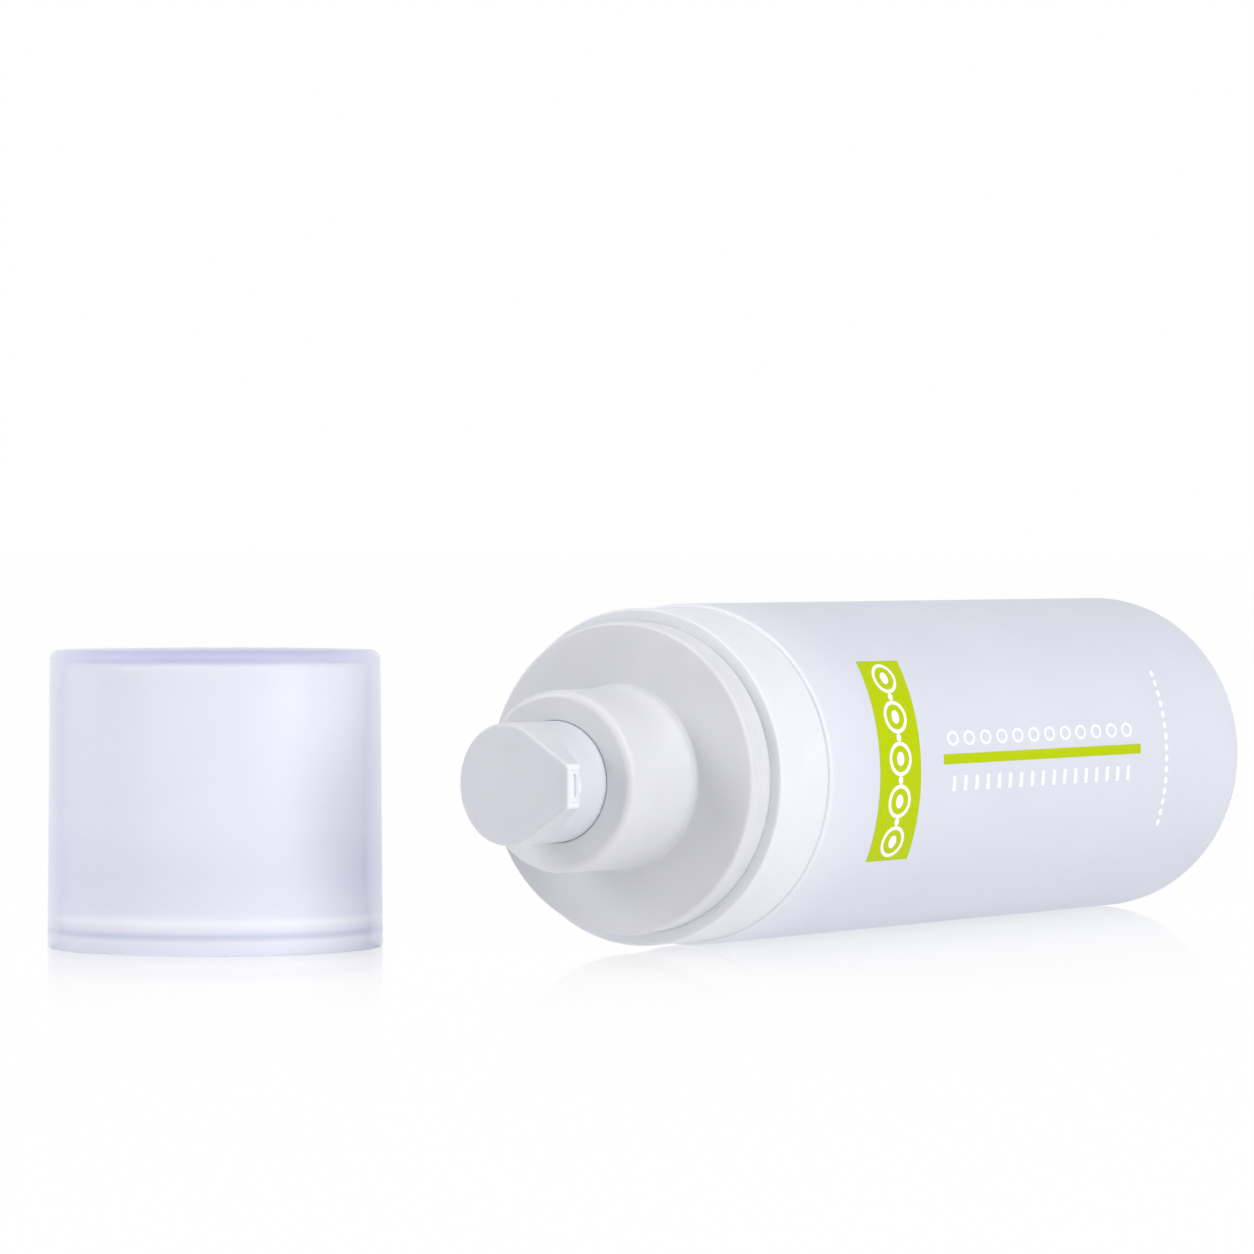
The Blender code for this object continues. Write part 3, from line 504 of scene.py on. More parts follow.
def banded(tree, shader, axis, bands):
    """Lays bands of (place, half width, colour) over the shader's base colour."""
    under = shader.inputs["Base Color"].links[0].from_socket
    for at, half, colour in bands:
        mix = add(tree, "ShaderNodeMix", data_type="RGBA", b=colour)
        tree.links.new(band_along(tree, axis, at, half), mix.inputs["Factor"])
        tree.links.new(under, mix.inputs["A"])
        under = mix.outputs["Result"]
    tree.links.new(under, shader.inputs["Base Color"])


def body_frost(name, pale, deep):
    """The bottle's frost, with a painted highlight that makes it paler towards its mouth and a
    painted glow that makes it palest on the thin edge there.
    """
    material, tree, shader = frost(name, pale, deep, BODY_SOFTNESS)
    shader.inputs["IOR"].default_value = BODY_IOR
    bands = [
        # painted highlight towards the mouth
        (base_x - mouth, MOUTH_HIGHLIGHT_REACH, MOUTH_HIGHLIGHT),
        # painted light on the mouth's thin edge
        (base_x - mouth, MOUTH_GLOW_REACH, MOUTH_GLOW),
    ]
    banded(tree, shader, "X", bands)
    return material


def cap_frost(name, pale, deep, rough=FROST_ROUGHNESS):
    """Frost of the cap with painted bands: painted shade low on the wall, at the rim and over the
    groove, and a painted highlight over the ledge.
    """
    material, tree, shader = frost(name, pale, deep, CAP_SOFTNESS, rough)
    bands = [
        # painted shade low on the wall and at the rim
        (cap_low.z + CAP_SHADE_HEIGHT, CAP_SHADE_REACH, CAP_SHADE),
        (cap_low.z, CAP_RIM_SHADE_REACH, CAP_SHADE),
        # painted shade over the groove
        (cap_low.z + CAP_GROOVE_HEIGHT, CAP_GROOVE_SHADE_REACH, CAP_GROOVE_SHADE),
        # painted highlight over the ledge
        (cap_low.z + CAP_RING_HIGHLIGHT_HEIGHT, CAP_RING_HIGHLIGHT_REACH, CAP_RING_HIGHLIGHT),
    ]
    banded(tree, shader, "Z", bands)
    return material


def cap_skin(name, pale, deep):
    """Outer skin of the cap: frost over plastic that is tinted by its thickness."""
    material = cap_frost(name, pale, deep, CAP_SKIN_ROUGHNESS)
    tree = material.node_tree
    tree.nodes["Principled BSDF"].inputs["Alpha"].default_value = CAP_HIDING
    tint = add(tree, "ShaderNodeVolumeAbsorption", density=CAP_TINT_DENSITY)
    tint.inputs["Color"].default_value = CAP_TINT
    tree.links.new(tint.outputs["Volume"], tree.nodes["Material Output"].inputs["Volume"])
    return material


def moulded(name, pale, deep, rough=MOULD_ROUGHNESS, softness=MOULD_SOFTNESS):
    """Opaque moulded plastic with a faint ripple, a fine grain and light under its skin."""
    material, tree, shader = new_material(name)
    ripple = object_noise(tree, MOULD_RIPPLE)
    grain = object_noise(tree, MOULD_GRAIN)
    coloured(tree, shader, ripple, pale, deep)
    roughened(tree, shader, grain, rough - MOULD_SMOOTHER, rough + MOULD_ROUGHER)
    lit_within(shader, softness, MOULD_LIGHT_SPREAD, MOULD_LIGHT_DEPTH)
    bumped(tree, shader, [(ripple, MOULD_RIPPLE_BUMP), (grain, MOULD_GRAIN_BUMP)])
    return material


def printed(name, pale, deep):
    """Screen-printed ink: even, slightly grainy, and flatter than the frost round it."""
    material, tree, shader = new_material(name)
    grain = object_noise(tree, INK_GRAIN, COARSE_DETAIL)
    coloured(tree, shader, grain, pale, deep)
    roughened(tree, shader, grain, INK_SMOOTH, INK_ROUGH)
    shader.inputs["Specular IOR Level"].default_value = INK_SHINE
    bumped(tree, shader, [(grain, INK_GRAIN_BUMP)])
    return material


def drawn_steel(name, pale, deep):
    material, tree, shader = new_material(name)
    grain = object_noise(tree, MOULD_GRAIN, FINE_DETAIL)
    coloured(tree, shader, grain, pale, deep)
    roughened(tree, shader, grain, WIRE_SMOOTH, WIRE_ROUGH)
    shader.inputs["Metallic"].default_value = 1.0
    bumped(tree, shader, [(grain, WIRE_GRAIN_BUMP)])
    return material


def clear_glass(name, pale, deep):
    material, tree, shader = new_material(name)
    haze = object_noise(tree, MOULD_RIPPLE)
    coloured(tree, shader, haze, pale, deep)
    roughened(tree, shader, haze, GLASS_SMOOTH, GLASS_ROUGH)
    shader.inputs["Transmission Weight"].default_value = 1.0
    return material


FROST_BODY = body_frost("frosted_body", (0.695, 0.717, 0.80, 1), (0.677, 0.70, 0.787, 1))
CAP_SKIN = cap_skin("frosted_cap", (0.925, 0.93, 0.975, 1), (0.91, 0.915, 0.965, 1))
CAP_LINING = cap_frost("cap_lining", (0.945, 0.945, 0.975, 1), (0.93, 0.93, 0.965, 1))
# Painted light: the collar gets a lighter copy of the satin white, for the light that falls on its
# side.
COLLAR_LIT_WHITE = moulded("collar_lit_white", (0.815, 0.825, 0.865, 1), (0.795, 0.805, 0.85, 1))
# Painted highlight: a lighter white for the snout's end, where light falls on it, and for the
# insert.
TIP_HIGHLIGHT_WHITE = moulded("tip_highlight_white", (0.86, 0.87, 0.91, 1), (0.84, 0.85, 0.895, 1))
SATIN = moulded("satin_white", (0.72, 0.724, 0.757, 1), (0.70, 0.704, 0.742, 1))
HEAD_WHITE = moulded("head_white", (0.695, 0.70, 0.76, 1), (0.675, 0.68, 0.745, 1))
VESSEL_WHITE = moulded("vessel_white", (0.88, 0.88, 0.90, 1), (0.86, 0.86, 0.885, 1), 0.4)
PUMP_WHITE = moulded("pump_white", (0.86, 0.86, 0.86, 1), (0.83, 0.83, 0.83, 1), 0.36, 0.2)
PISTON_WHITE = moulded("piston_white", (0.90, 0.90, 0.89, 1), (0.87, 0.87, 0.86, 1), 0.5, 0.3)
GASKET = moulded("gasket_grey", (0.62, 0.62, 0.60, 1), (0.56, 0.56, 0.545, 1), 0.7)
LIME = printed("ink_lime", (0.50, 0.62, 0.002, 1), (0.47, 0.59, 0.002, 1))
INK_WHITE = printed("ink_white", (0.97, 0.97, 0.98, 1), (0.94, 0.94, 0.95, 1))
STEEL = drawn_steel("spring_steel", (0.50, 0.50, 0.51, 1), (0.62, 0.62, 0.63, 1))
GLASS = clear_glass("valve_glass", (0.88, 0.93, 0.93, 1), (0.92, 0.96, 0.96, 1))


# Turned pieces
def make_outer_bottle():
    inner = body_radius - BODY_WALL
    seat = inner + FLANGE_SEAT_WIDTH
    corners = [
        (seat, mouth),
        (body_radius, mouth, MOUTH_EDGE),
        (body_radius, 0, BASE_CORNER_RADIUS, BASE_STEPS),
        (FOOT_RADIUS, 0, FOOT_EDGE),
        (FOOT_RADIUS - PUNT_DEPTH, PUNT_DEPTH, FOOT_EDGE),
        (VENT_RADIUS, PUNT_DEPTH),
        (VENT_RADIUS, BASE_FLOOR),
        (inner, BASE_FLOOR, BASE_CORNER_RADIUS - BODY_WALL, INNER_BASE_STEPS),
        (inner, mouth - FLANGE_SEAT_DEPTH),
        (seat, mouth - FLANGE_SEAT_DEPTH),
    ]
    stand_for(lathe("frosted_bottle", corners), "outer_bottle", FROST_BODY)


def make_inner_vessel():
    inner = VESSEL_RADIUS - VESSEL_WALL
    low, high = span("inner_vessel")
    bead = mouth + NECK_BEAD_HEIGHT
    ceiling = mouth - SHOULDER_THICKNESS
    corners = [
        (NECK_RADIUS - NECK_WALL, high),
        (NECK_RADIUS, high, NECK_EDGE),
        (NECK_RADIUS, bead + 3 * NECK_BEAD),
        (NECK_RADIUS + NECK_BEAD, bead + 2 * NECK_BEAD),
        (NECK_RADIUS + NECK_BEAD, bead + NECK_BEAD),
        (NECK_RADIUS, bead),
        (NECK_RADIUS, mouth),
        (flange_edge, mouth),
        (flange_edge, mouth - FLANGE_THICKNESS),
        (VESSEL_RADIUS, mouth - FLANGE_THICKNESS),
        (VESSEL_RADIUS, low),
        (inner, low),
        (inner, ceiling, SHOULDER_FILLET),
        (NECK_RADIUS - NECK_WALL, ceiling),
    ]
    stand_for(lathe("vessel", corners), "inner_vessel", VESSEL_WHITE)


def make_collar():
    opening = collar_radius - CAP_SEAT_WIDTH + SEAT_GAP
    seat = collar_radius - CAP_SEAT_WIDTH + TOUCH_GAP
    corners = [
        (opening, collar_top - CAP_SEAT_LIP),
        (seat, collar_top - CAP_SEAT_LIP / 2),
        (seat, collar_top),
        (collar_radius, collar_top, COLLAR_EDGE),
        (collar_radius, mouth + TOUCH_GAP, COLLAR_LOWER_EDGE),
        (flange_edge + SEAT_GAP, mouth + TOUCH_GAP),
        (flange_edge + SEAT_GAP, collar_bottom),
        (COLLAR_WEB_RADIUS, collar_bottom),
        (COLLAR_WEB_RADIUS, collar_bottom + COLLAR_WEB),
        (opening, collar_bottom + COLLAR_WEB),
    ]
    stand_for(lathe("collar_band", corners), "shoulder_collar", COLLAR_LIT_WHITE)


def make_pump_cover():
    disc = collar_radius - CAP_SEAT_WIDTH
    disc_top = collar_top + DISC_HEIGHT
    bead = collar_top + BEAD_ABOVE_SEAT
    core = BOSS_RADIUS - BOSS_WALL
    guide = GUIDE_BORE + GUIDE_WALL
    guide_bottom = boss_top - GUIDE_LENGTH
    corners = [
        (GUIDE_BORE, boss_top, GUIDE_EDGE),
        (BOSS_RADIUS - BOSS_DRAFT, boss_top, BOSS_EDGE, WIDE_EDGE_STEPS),
        (BOSS_RADIUS, disc_top, BOSS_ROOT),
        (disc, disc_top, DISC_EDGE),
        (disc, bead + BEAD_HEIGHT / 2, BEAD_PROUD),
        (disc + BEAD_PROUD, bead, BEAD_PROUD),
        (disc, bead - BEAD_HEIGHT / 2, BEAD_PROUD),
        (disc, skirt_bottom),
        (disc - SKIRT_WALL, skirt_bottom),
        (disc - SKIRT_WALL, disc_top - DISC_WALL),
        (core, disc_top - DISC_WALL),
        (core, boss_top - BOSS_FRONT_WALL),
        (guide, boss_top - BOSS_FRONT_WALL),
        (guide, guide_bottom),
        (GUIDE_BORE, guide_bottom),
    ]
    stand_for(lathe("disc_and_boss", corners), "pump_cover", SATIN)


def line_cap(cap):
    """Gives the cap's inner faces and its rim the milky lining."""
    cap.data.materials.append(CAP_LINING)
    wall_middle = (collar_radius + CAP_RECESS_RADIUS) / 2
    plate_middle = cap_high.z - CAP_PLATE / 2
    skin, lining = range(2)
    for face in cap.data.polygons:
        arm = (face.center - cap_middle).to_2d()
        outside = arm.length > wall_middle and face.center.z > cap_low.z + WELD
        on_top = face.center.z > plate_middle
        face.material_index = skin if outside or on_top else lining


def make_cap():
    radius = collar_radius
    height = cap_high.z - cap_low.z
    inner = radius - CAP_WALL
    groove_half = BEAD_HEIGHT / 2
    groove = CAP_RECESS_RADIUS + BEAD_PROUD
    corners = [
        (0, height),
        (radius - CAP_DRAFT, height, CAP_TOP_EDGE, WIDE_EDGE_STEPS),
        (radius, 0, CAP_RIM_EDGE),
        (CAP_RECESS_RADIUS, 0, CAP_RIM_EDGE),
        (CAP_RECESS_RADIUS, CAP_GROOVE_HEIGHT - groove_half, BEAD_PROUD),
        (groove, CAP_GROOVE_HEIGHT, BEAD_PROUD),
        (CAP_RECESS_RADIUS, CAP_GROOVE_HEIGHT + groove_half, BEAD_PROUD),
        (CAP_RECESS_RADIUS, CAP_RECESS_HEIGHT),
        (inner, CAP_RECESS_HEIGHT + CAP_LEDGE_TAPER, CAP_LEDGE_EDGE),
        (inner - CAP_DRAFT, height - CAP_PLATE, CAP_CORNER),
        (0, height - CAP_PLATE),
    ]
    cap = lathe("frosted_cap", corners, STANDING, closed=False)
    stand_for(cap, "cap", CAP_SKIN)
    line_cap(cap)


# Head
crown_middle = snout_top - SNOUT_REACH * math.tan(HEAD_SLOPE)
snout_bottom = snout_top - SNOUT_HEIGHT
slot_height = snout_top - SNOUT_HEIGHT / 2
undercut = SNOUT_UNDERCUT / (SNOUT_REACH - HEAD_RADIUS)
riser_top = crown_middle - CHANNEL_DEPTH
ALONG_SLOPE = Matrix.Rotation(math.pi / 2 - HEAD_SLOPE, 4, "Y")


def spaced(start, end):
    """Points spaced evenly between two others, without them."""
    return [start.lerp(end, k / HEAD_FLAT_STEPS) for k in range(1, HEAD_FLAT_STEPS)]


def head_plan():
    """Plan of the head: the round, a flat, the snout's narrow end, and the other flat."""
    half = SNOUT_WIDTH / 2
    far = math.hypot(SNOUT_REACH, half)
    tangent = math.atan2(half, SNOUT_REACH) + math.acos(HEAD_RADIUS / far)
    points = []
    for k in range(HEAD_ROUND_STEPS + 1):
        angle = tangent + (math.tau - 2 * tangent) * k / HEAD_ROUND_STEPS
        points.append(Vector((HEAD_RADIUS * math.cos(angle), HEAD_RADIUS * math.sin(angle))))
    lower = Vector((SNOUT_REACH, -half))
    upper = Vector((SNOUT_REACH, half))
    lower_arc = fillet(points[-1], lower, upper, SNOUT_CORNER, FILLET_STEPS)
    upper_arc = fillet(lower, upper, points[0], SNOUT_CORNER, FILLET_STEPS)
    lower_flat = spaced(points[-1], lower_arc[0])
    end = spaced(lower_arc[-1], upper_arc[0])
    upper_flat = spaced(upper_arc[-1], points[0])
    return points + lower_flat + lower_arc + end + upper_arc + upper_flat


def rounded_step(before, corner, after, radius):
    """A fillet of a fixed number of points, smaller where its sides are short."""
    to_before = before - corner
    to_after = after - corner
    shortest = min(to_before.length, to_after.length)
    half = to_before.angle(to_after, math.pi / 2) / 2
    radius = min(radius, SHORT_SIDE_SHARE * shortest * math.tan(half))
    if radius < WELD:
        return [corner] * (FILLET_STEPS + 1)
    return corner_arc(before, corner, after, radius, FILLET_STEPS)


def head_hollow():
    """Section of the head's hollow, from its foot to the riser over the stem."""
    pocket = crown_middle - HEAD_RADIUS * math.tan(HEAD_SLOPE) - CROWN_THICKNESS
    socket_mouth = stem_top - SOCKET_DEPTH
    socket_end = stem_top + SEAT_GAP
    corners = [
        (HEAD_INNER_RADIUS, head_bottom),
        (HEAD_INNER_RADIUS, pocket),
        (SOCKET_OUTER_RADIUS, pocket),
        (SOCKET_OUTER_RADIUS, socket_mouth),
        (SOCKET_RADIUS, socket_mouth),
        (SOCKET_RADIUS, socket_end),
        (RISER_RADIUS, socket_end),
        (RISER_RADIUS, riser_top),
        (0, riser_top),
    ]
    return [Vector(corner) for corner in corners]


def head_column(spot):
    """The head's section in the plane through its axis and one point of its plan."""
    distance = spot.length
    way = spot / distance
    slope = math.tan(HEAD_SLOPE) * way.x
    under = undercut * way.x
    under_middle = snout_bottom - undercut * SNOUT_REACH
    middle = Vector((0, crown_middle))
    top = Vector((distance, crown_middle + slope * distance))
    low = Vector((distance, under_middle + under * distance))
    root = Vector((HEAD_RADIUS, under_middle + under * HEAD_RADIUS))
    foot = Vector((HEAD_RADIUS, head_bottom))
    inner_foot = Vector((HEAD_INNER_RADIUS, head_bottom))
    points = [middle, middle.lerp(top, CROWN_FLAT_SHARE)]
    points += rounded_step(middle, top, low, HEAD_EDGE)
    points += rounded_step(top, low, root, HEAD_EDGE)
    points += rounded_step(low, root, foot, HEAD_EDGE)
    points += rounded_step(root, foot, inner_foot, HEAD_FOOT_EDGE)
    points += head_hollow()
    return [(way.x * p.x, way.y * p.x, p.y) for p in points]


def rod(name, radius, length, middle, place):
    """A round rod along local Z, with its middle at a height, put in its place."""
    build = bmesh.new()
    shape = {"segments": ROD_SIDES, "radius1": radius, "radius2": radius, "depth": length}
    bmesh.ops.create_cone(build, cap_ends=True, **shape)
    bmesh.ops.translate(build, vec=(0, 0, middle), verts=build.verts)
    bmesh.ops.transform(build, matrix=place, verts=build.verts)
    return new_piece(name, close_up(build, name, LAID_DOWN))


def snout_tube():
    """The outlet's tube, trimmed inside the snout's end and the sloping top."""
    half = SNOUT_TUBE_LENGTH / 2
    middle = (SNOUT_REACH - half, 0, slot_height - half * math.tan(HEAD_SLOPE))
    place = Matrix.Translation(middle) @ ALONG_SLOPE
    tube = rod("snout_tube", SNOUT_TUBE_RADIUS, SNOUT_TUBE_LENGTH, 0, place)
    wide = 3 * SNOUT_REACH
    end = (SNOUT_REACH - SNOUT_TUBE_INSET, -wide, snout_bottom - wide)
    carve(tube, box_tool("tube_trim", end, (wide, wide, snout_top + wide)))
    crown = Matrix.Translation((0, 0, crown_middle - SNOUT_TUBE_INSET))
    lid = LAID_DOWN @ crown @ Matrix.Rotation(-HEAD_SLOPE, 4, "Y")
    carve(tube, box_tool("tube_top", (-wide, -wide, 0), (wide, wide, wide), lid))
    return tube


def insert_pocket():
    half_width = INSERT_WIDTH / 2 + INSERT_FIT
    half_height = INSERT_HEIGHT / 2 + INSERT_FIT
    low = (SNOUT_REACH - INSERT_DEPTH - INSERT_FIT, -half_width, slot_height - half_height)
    high = (SNOUT_REACH + INSERT_DEPTH, half_width, slot_height + half_height)
    return box_tool("insert_pocket", low, high)


def outlet_channel():
    """Rod from the riser to the insert's pocket, in line with the sloping top."""
    length = (SNOUT_REACH - INSERT_DEPTH / 2) / math.cos(HEAD_SLOPE)
    place = Matrix.Translation((0, 0, riser_top)) @ ALONG_SLOPE
    return rod("channel", CHANNEL_RADIUS, length, length / 2, place)


def paint_tip_highlight(head):
    """Paints a highlight on the snout's end: its faces that face out get a lighter white than the
    rest of the head.
    """
    head.data.materials.append(TIP_HIGHLIGHT_WHITE)
    tip_end = LAID_DOWN @ Vector((SNOUT_REACH - TIP_END_DEPTH, 0, 0))
    snout_way = (LAID_DOWN.to_3x3() @ Vector((1, 0, 0))).normalized()
    for face in head.data.polygons:
        at_end = (face.center - tip_end).dot(snout_way) > 0
        faces_out = face.normal.dot(snout_way) > TIP_FACING
        face.material_index = 1 if at_end and faces_out else 0


def make_head():
    build = bmesh.new()
    loft(build, [head_column(spot) for spot in head_plan()])
    head = new_piece("pump_head", close_up(build, "pump_head", LAID_DOWN))
    carve(head, snout_tube(), "UNION")
    carve(head, insert_pocket())
    carve(head, outlet_channel())
    stand_for(head, "actuator", HEAD_WHITE)
    paint_tip_highlight(head)


def slot_outline():
    """Round-ended outline of the slot, as (across, up) pairs."""
    end_radius = SLOT_HEIGHT / 2
    end_middle = SLOT_WIDTH / 2 - end_radius
    ring = []
    for side in (1, -1):
        for k in range(SLOT_END_STEPS + 1):
            angle = math.pi * k / SLOT_END_STEPS - math.pi / 2
            across = end_middle + end_radius * math.cos(angle)
            ring.append((side * across, side * end_radius * math.sin(angle)))
    return ring


def slot_tool():
    build = bmesh.new()
    ring = slot_outline()
    ends = (SNOUT_REACH - SLOT_DEPTH, SNOUT_REACH + SLOT_DEPTH)
    back, front = [[build.verts.new((x, y, slot_height + z)) for y, z in ring] for x in ends]
    for k in range(len(ring)):
        following = (k + 1) % len(ring)
        build.faces.new((back[k], back[following], front[following], front[k]))
    build.faces.new(back)
    build.faces.new(front)
    return new_piece("slot_tool", close_up(build, "slot_tool", LAID_DOWN))


def make_insert():
    """Plug flush with the snout's end, with a round-ended slot sunk in it."""
    build = bmesh.new()
    bmesh.ops.create_cube(build, size=1)
    size = Matrix.Diagonal((INSERT_DEPTH, INSERT_WIDTH, INSERT_HEIGHT, 1))
    middle = Matrix.Translation((SNOUT_REACH - INSERT_DEPTH / 2, 0, slot_height))
    bmesh.ops.transform(build, matrix=middle @ size, verts=build.verts)
    edge = {"offset": INSERT_EDGE, "segments": 3, "profile": 0.5, "affect": "EDGES"}
    bmesh.ops.bevel(build, geom=build.edges, **edge)
    insert = new_piece("snout_insert", close_up(build, "snout_insert", LAID_DOWN))
    carve(insert, slot_tool())
    # The insert has the same lighter white as the painted highlight on the snout's end.
    stand_for(insert, "nozzle_insert", TIP_HIGHLIGHT_WHITE)


# Node trees that make pieces
def open_tree(name, inputs):
    """A geometry tree with named inputs, its entry and its exit."""
    tree = bpy.data.node_groups.new(name, "GeometryNodeTree")
    face = tree.interface
    face.new_socket("Geometry", in_out="INPUT", socket_type="NodeSocketGeometry")
    for socket, kind in inputs.items():
        face.new_socket(socket, in_out="INPUT", socket_type="NodeSocket" + kind)
    face.new_socket("Geometry", in_out="OUTPUT", socket_type="NodeSocketGeometry")
    return tree, tree.nodes.new("NodeGroupInput"), tree.nodes.new("NodeGroupOutput")


def made_real(tree, geometry):
    real = tree.nodes.new("GeometryNodeRealizeInstances")
    tree.links.new(geometry, real.inputs["Geometry"])
    return real.outputs["Geometry"]


def finish_tree(tree, leave, geometry, material):
    """Sets the material and hands the geometry over."""
    finish = tree.nodes.new("GeometryNodeSetMaterial")
    tree.links.new(geometry, finish.inputs["Geometry"])
    tree.links.new(material, finish.inputs["Material"])
    tree.links.new(finish.outputs["Geometry"], leave.inputs["Geometry"])


def run_tree(piece, tree, values):
    """Puts a tree on a piece, sets its inputs by identifier, and makes the result real."""
    modifier = piece.modifiers.new(tree.name, "NODES")
    modifier.node_group = tree
    for socket in tree.interface.items_tree:
        if socket.in_out == "INPUT" and socket.name in values:
            modifier[socket.identifier] = values[socket.name]
    baked(piece)


# Print that wraps round the bottle
degree_round = math.radians(1) * body_radius
PRINT_PROUD = 0.03 * MM
PRINT_LIFT = 0.004 * MM
PRINT_BOW = 5.5 * MM
PLATE_STEP = 0.3 * MM
DOT_SIDES = 32
RING_SIDES = 48
ON_BODY = (PRINT_LIFT, PRINT_PROUD)
ON_PANEL = (PRINT_PROUD + PRINT_LIFT, 1.5 * PRINT_PROUD + PRINT_LIFT)
PANEL_LOW = 92.6 * MM
PANEL_HIGH = 102.8 * MM
PANEL_FROM = -31
PANEL_TO = 41
PANEL_RING_COUNT = 5
PANEL_RING = (2.2 * MM, 0.5 * MM, 1.25)
PANEL_BEAD_RADIUS = 0.55 * MM
PANEL_CENTRE_RADIUS = 0.9 * MM
STRIPE_LOW = 33.4 * MM
STRIPE_HIGH = 86.7 * MM
STRIPE_AT = 4
STRIPE_WIDTH = 1.3 * MM
ROWS_LOW = 37.0 * MM
ROWS_HIGH = 84.0 * MM
UPPER_ROW_AT = 11
UPPER_RING_COUNT = 12
UPPER_RING = (0.98 * MM, 0.33 * MM, 1.5)
LOWER_ROW_AT = -4.4
TICK_COUNT = 17
TICK_LENGTH = 2.0 * MM
TICK_WIDTH = 0.85 * MM
ARC_HEIGHT = 26.0 * MM
ARC_FROM = -24
ARC_STEP = 4.0
ARC_DOT_COUNT = 15
ARC_DOT_RADIUS = 0.5 * MM


def bent_round(tree, entry):
    """Where a point of a flat mark lies on the body, bowed towards the base.

    Flat X is the way round the body, flat Y the height above the base, flat Z the height off it.
    """
    place = tree.nodes.new("GeometryNodeInputPosition")
    flat = tree.nodes.new("ShaderNodeSeparateXYZ")
    tree.links.new(place.outputs["Position"], flat.inputs["Vector"])
    body = entry.outputs["Body Radius"]
    angle = reckon(tree, "DIVIDE", flat.outputs["X"], body)
    radius = reckon(tree, "ADD", flat.outputs["Z"], body)
    bow = reckon(tree, "MULTIPLY", entry.outputs["Bow"], reckon(tree, "MULTIPLY", angle, angle))
    parts = {
        "X": reckon(tree, "MULTIPLY", radius, reckon(tree, "COSINE", angle)),
        "Y": reckon(tree, "MULTIPLY", radius, reckon(tree, "SINE", angle)),
        "Z": reckon(tree, "SUBTRACT", flat.outputs["Y"], bow),
    }
    bent = tree.nodes.new("ShaderNodeCombineXYZ")
    for axis, part in parts.items():
        tree.links.new(part, bent.inputs[axis])
    return bent.outputs["Vector"]


def wrapping_tree():
    """Repeats a flat mark along a line, then bends the row round the bottle."""
    inputs = {
        "Count": "Int",
        "First Mark": "Vector",
        "Step": "Vector",
        "Body Radius": "Float",
        "Bow": "Float",
        "Ink": "Material",
    }
    tree, entry, leave = open_tree("wrapped_marks", inputs)
    link = tree.links.new
    line = add(tree, "GeometryNodeMeshLine", mode="OFFSET")
    link(entry.outputs["Count"], line.inputs["Count"])
    link(entry.outputs["First Mark"], line.inputs["Start Location"])
    link(entry.outputs["Step"], line.inputs["Offset"])
    marks = tree.nodes.new("GeometryNodeInstanceOnPoints")
    link(line.outputs["Mesh"], marks.inputs["Points"])
    link(entry.outputs["Geometry"], marks.inputs["Instance"])
    wrap = tree.nodes.new("GeometryNodeSetPosition")
    link(made_real(tree, marks.outputs["Instances"]), wrap.inputs["Geometry"])
    link(bent_round(tree, entry), wrap.inputs["Position"])
    finish_tree(tree, leave, wrap.outputs["Geometry"], entry.outputs["Ink"])
    return tree


WRAPPED_MARKS = wrapping_tree()


def plate_mark(round_length, height):
    """A rectangle, cut across so that it bends."""
    floor, ceiling = ON_BODY
    half = height / 2
    section = [(-half, floor), (0, floor), (half, floor)]
    section += [(half, ceiling), (0, ceiling), (-half, ceiling)]
    cuts = max(2, round(round_length / PLATE_STEP))
    places = [round_length * (k / cuts - 0.5) for k in range(cuts + 1)]
    build = bmesh.new()
    columns = [[(x, y, z) for y, z in section] for x in places]
    grid = loft(build, columns, closed=True, around=False)
    for a, b, c, d, e, f in (grid[0], grid[-1]):
        build.faces.new((a, b, e, f))
        build.faces.new((b, c, d, e))
    return close_up(build, "plate_mark")


def disc_mark(radius, layer=ON_BODY):
    build = bmesh.new()
    angles = [math.tau * k / DOT_SIDES for k in range(DOT_SIDES)]
    edge = [(radius * math.cos(angle), radius * math.sin(angle)) for angle in angles]
    bottom, top = [[build.verts.new((x, y, z)) for x, y in edge] for z in layer]
    build.faces.new(bottom[::-1])
    build.faces.new(top)
    for k in range(DOT_SIDES):
        following = (k + 1) % DOT_SIDES
        build.faces.new((bottom[k], bottom[following], top[following], top[k]))
    return close_up(build, "disc_mark")


def ring_mark(radius, width, stretch, layer=ON_BODY):
    """A ring, stretched along the bottle."""
    floor, ceiling = layer
    inner = radius - width
    section = [(radius, ceiling), (radius, floor), (inner, floor), (inner, ceiling)]
    columns = []
    for k in range(RING_SIDES):
        angle = math.tau * k / RING_SIDES
        across = math.cos(angle)
        along = math.sin(angle)
        columns.append([(r * across, stretch * r * along, z) for r, z in section])
    build = bmesh.new()
    loft(build, columns, closed=True)
    return close_up(build, "ring_mark")


def wrapped(name, mark, ink, count, first, step=(0, 0)):
    """A row of one mark on the bottle: first and step are (degrees round, height) pairs."""
    row = new_piece(name, mark)
    values = {
        "Count": count,
        "First Mark": (first[0] * degree_round, first[1], 0),
        "Step": (step[0] * degree_round, step[1], 0),
        "Body Radius": body_radius,
        "Bow": PRINT_BOW,
        "Ink": ink,
    }
    run_tree(row, WRAPPED_MARKS, values)
    row.data.transform(LAID_DOWN)
    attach(row, "bottle")


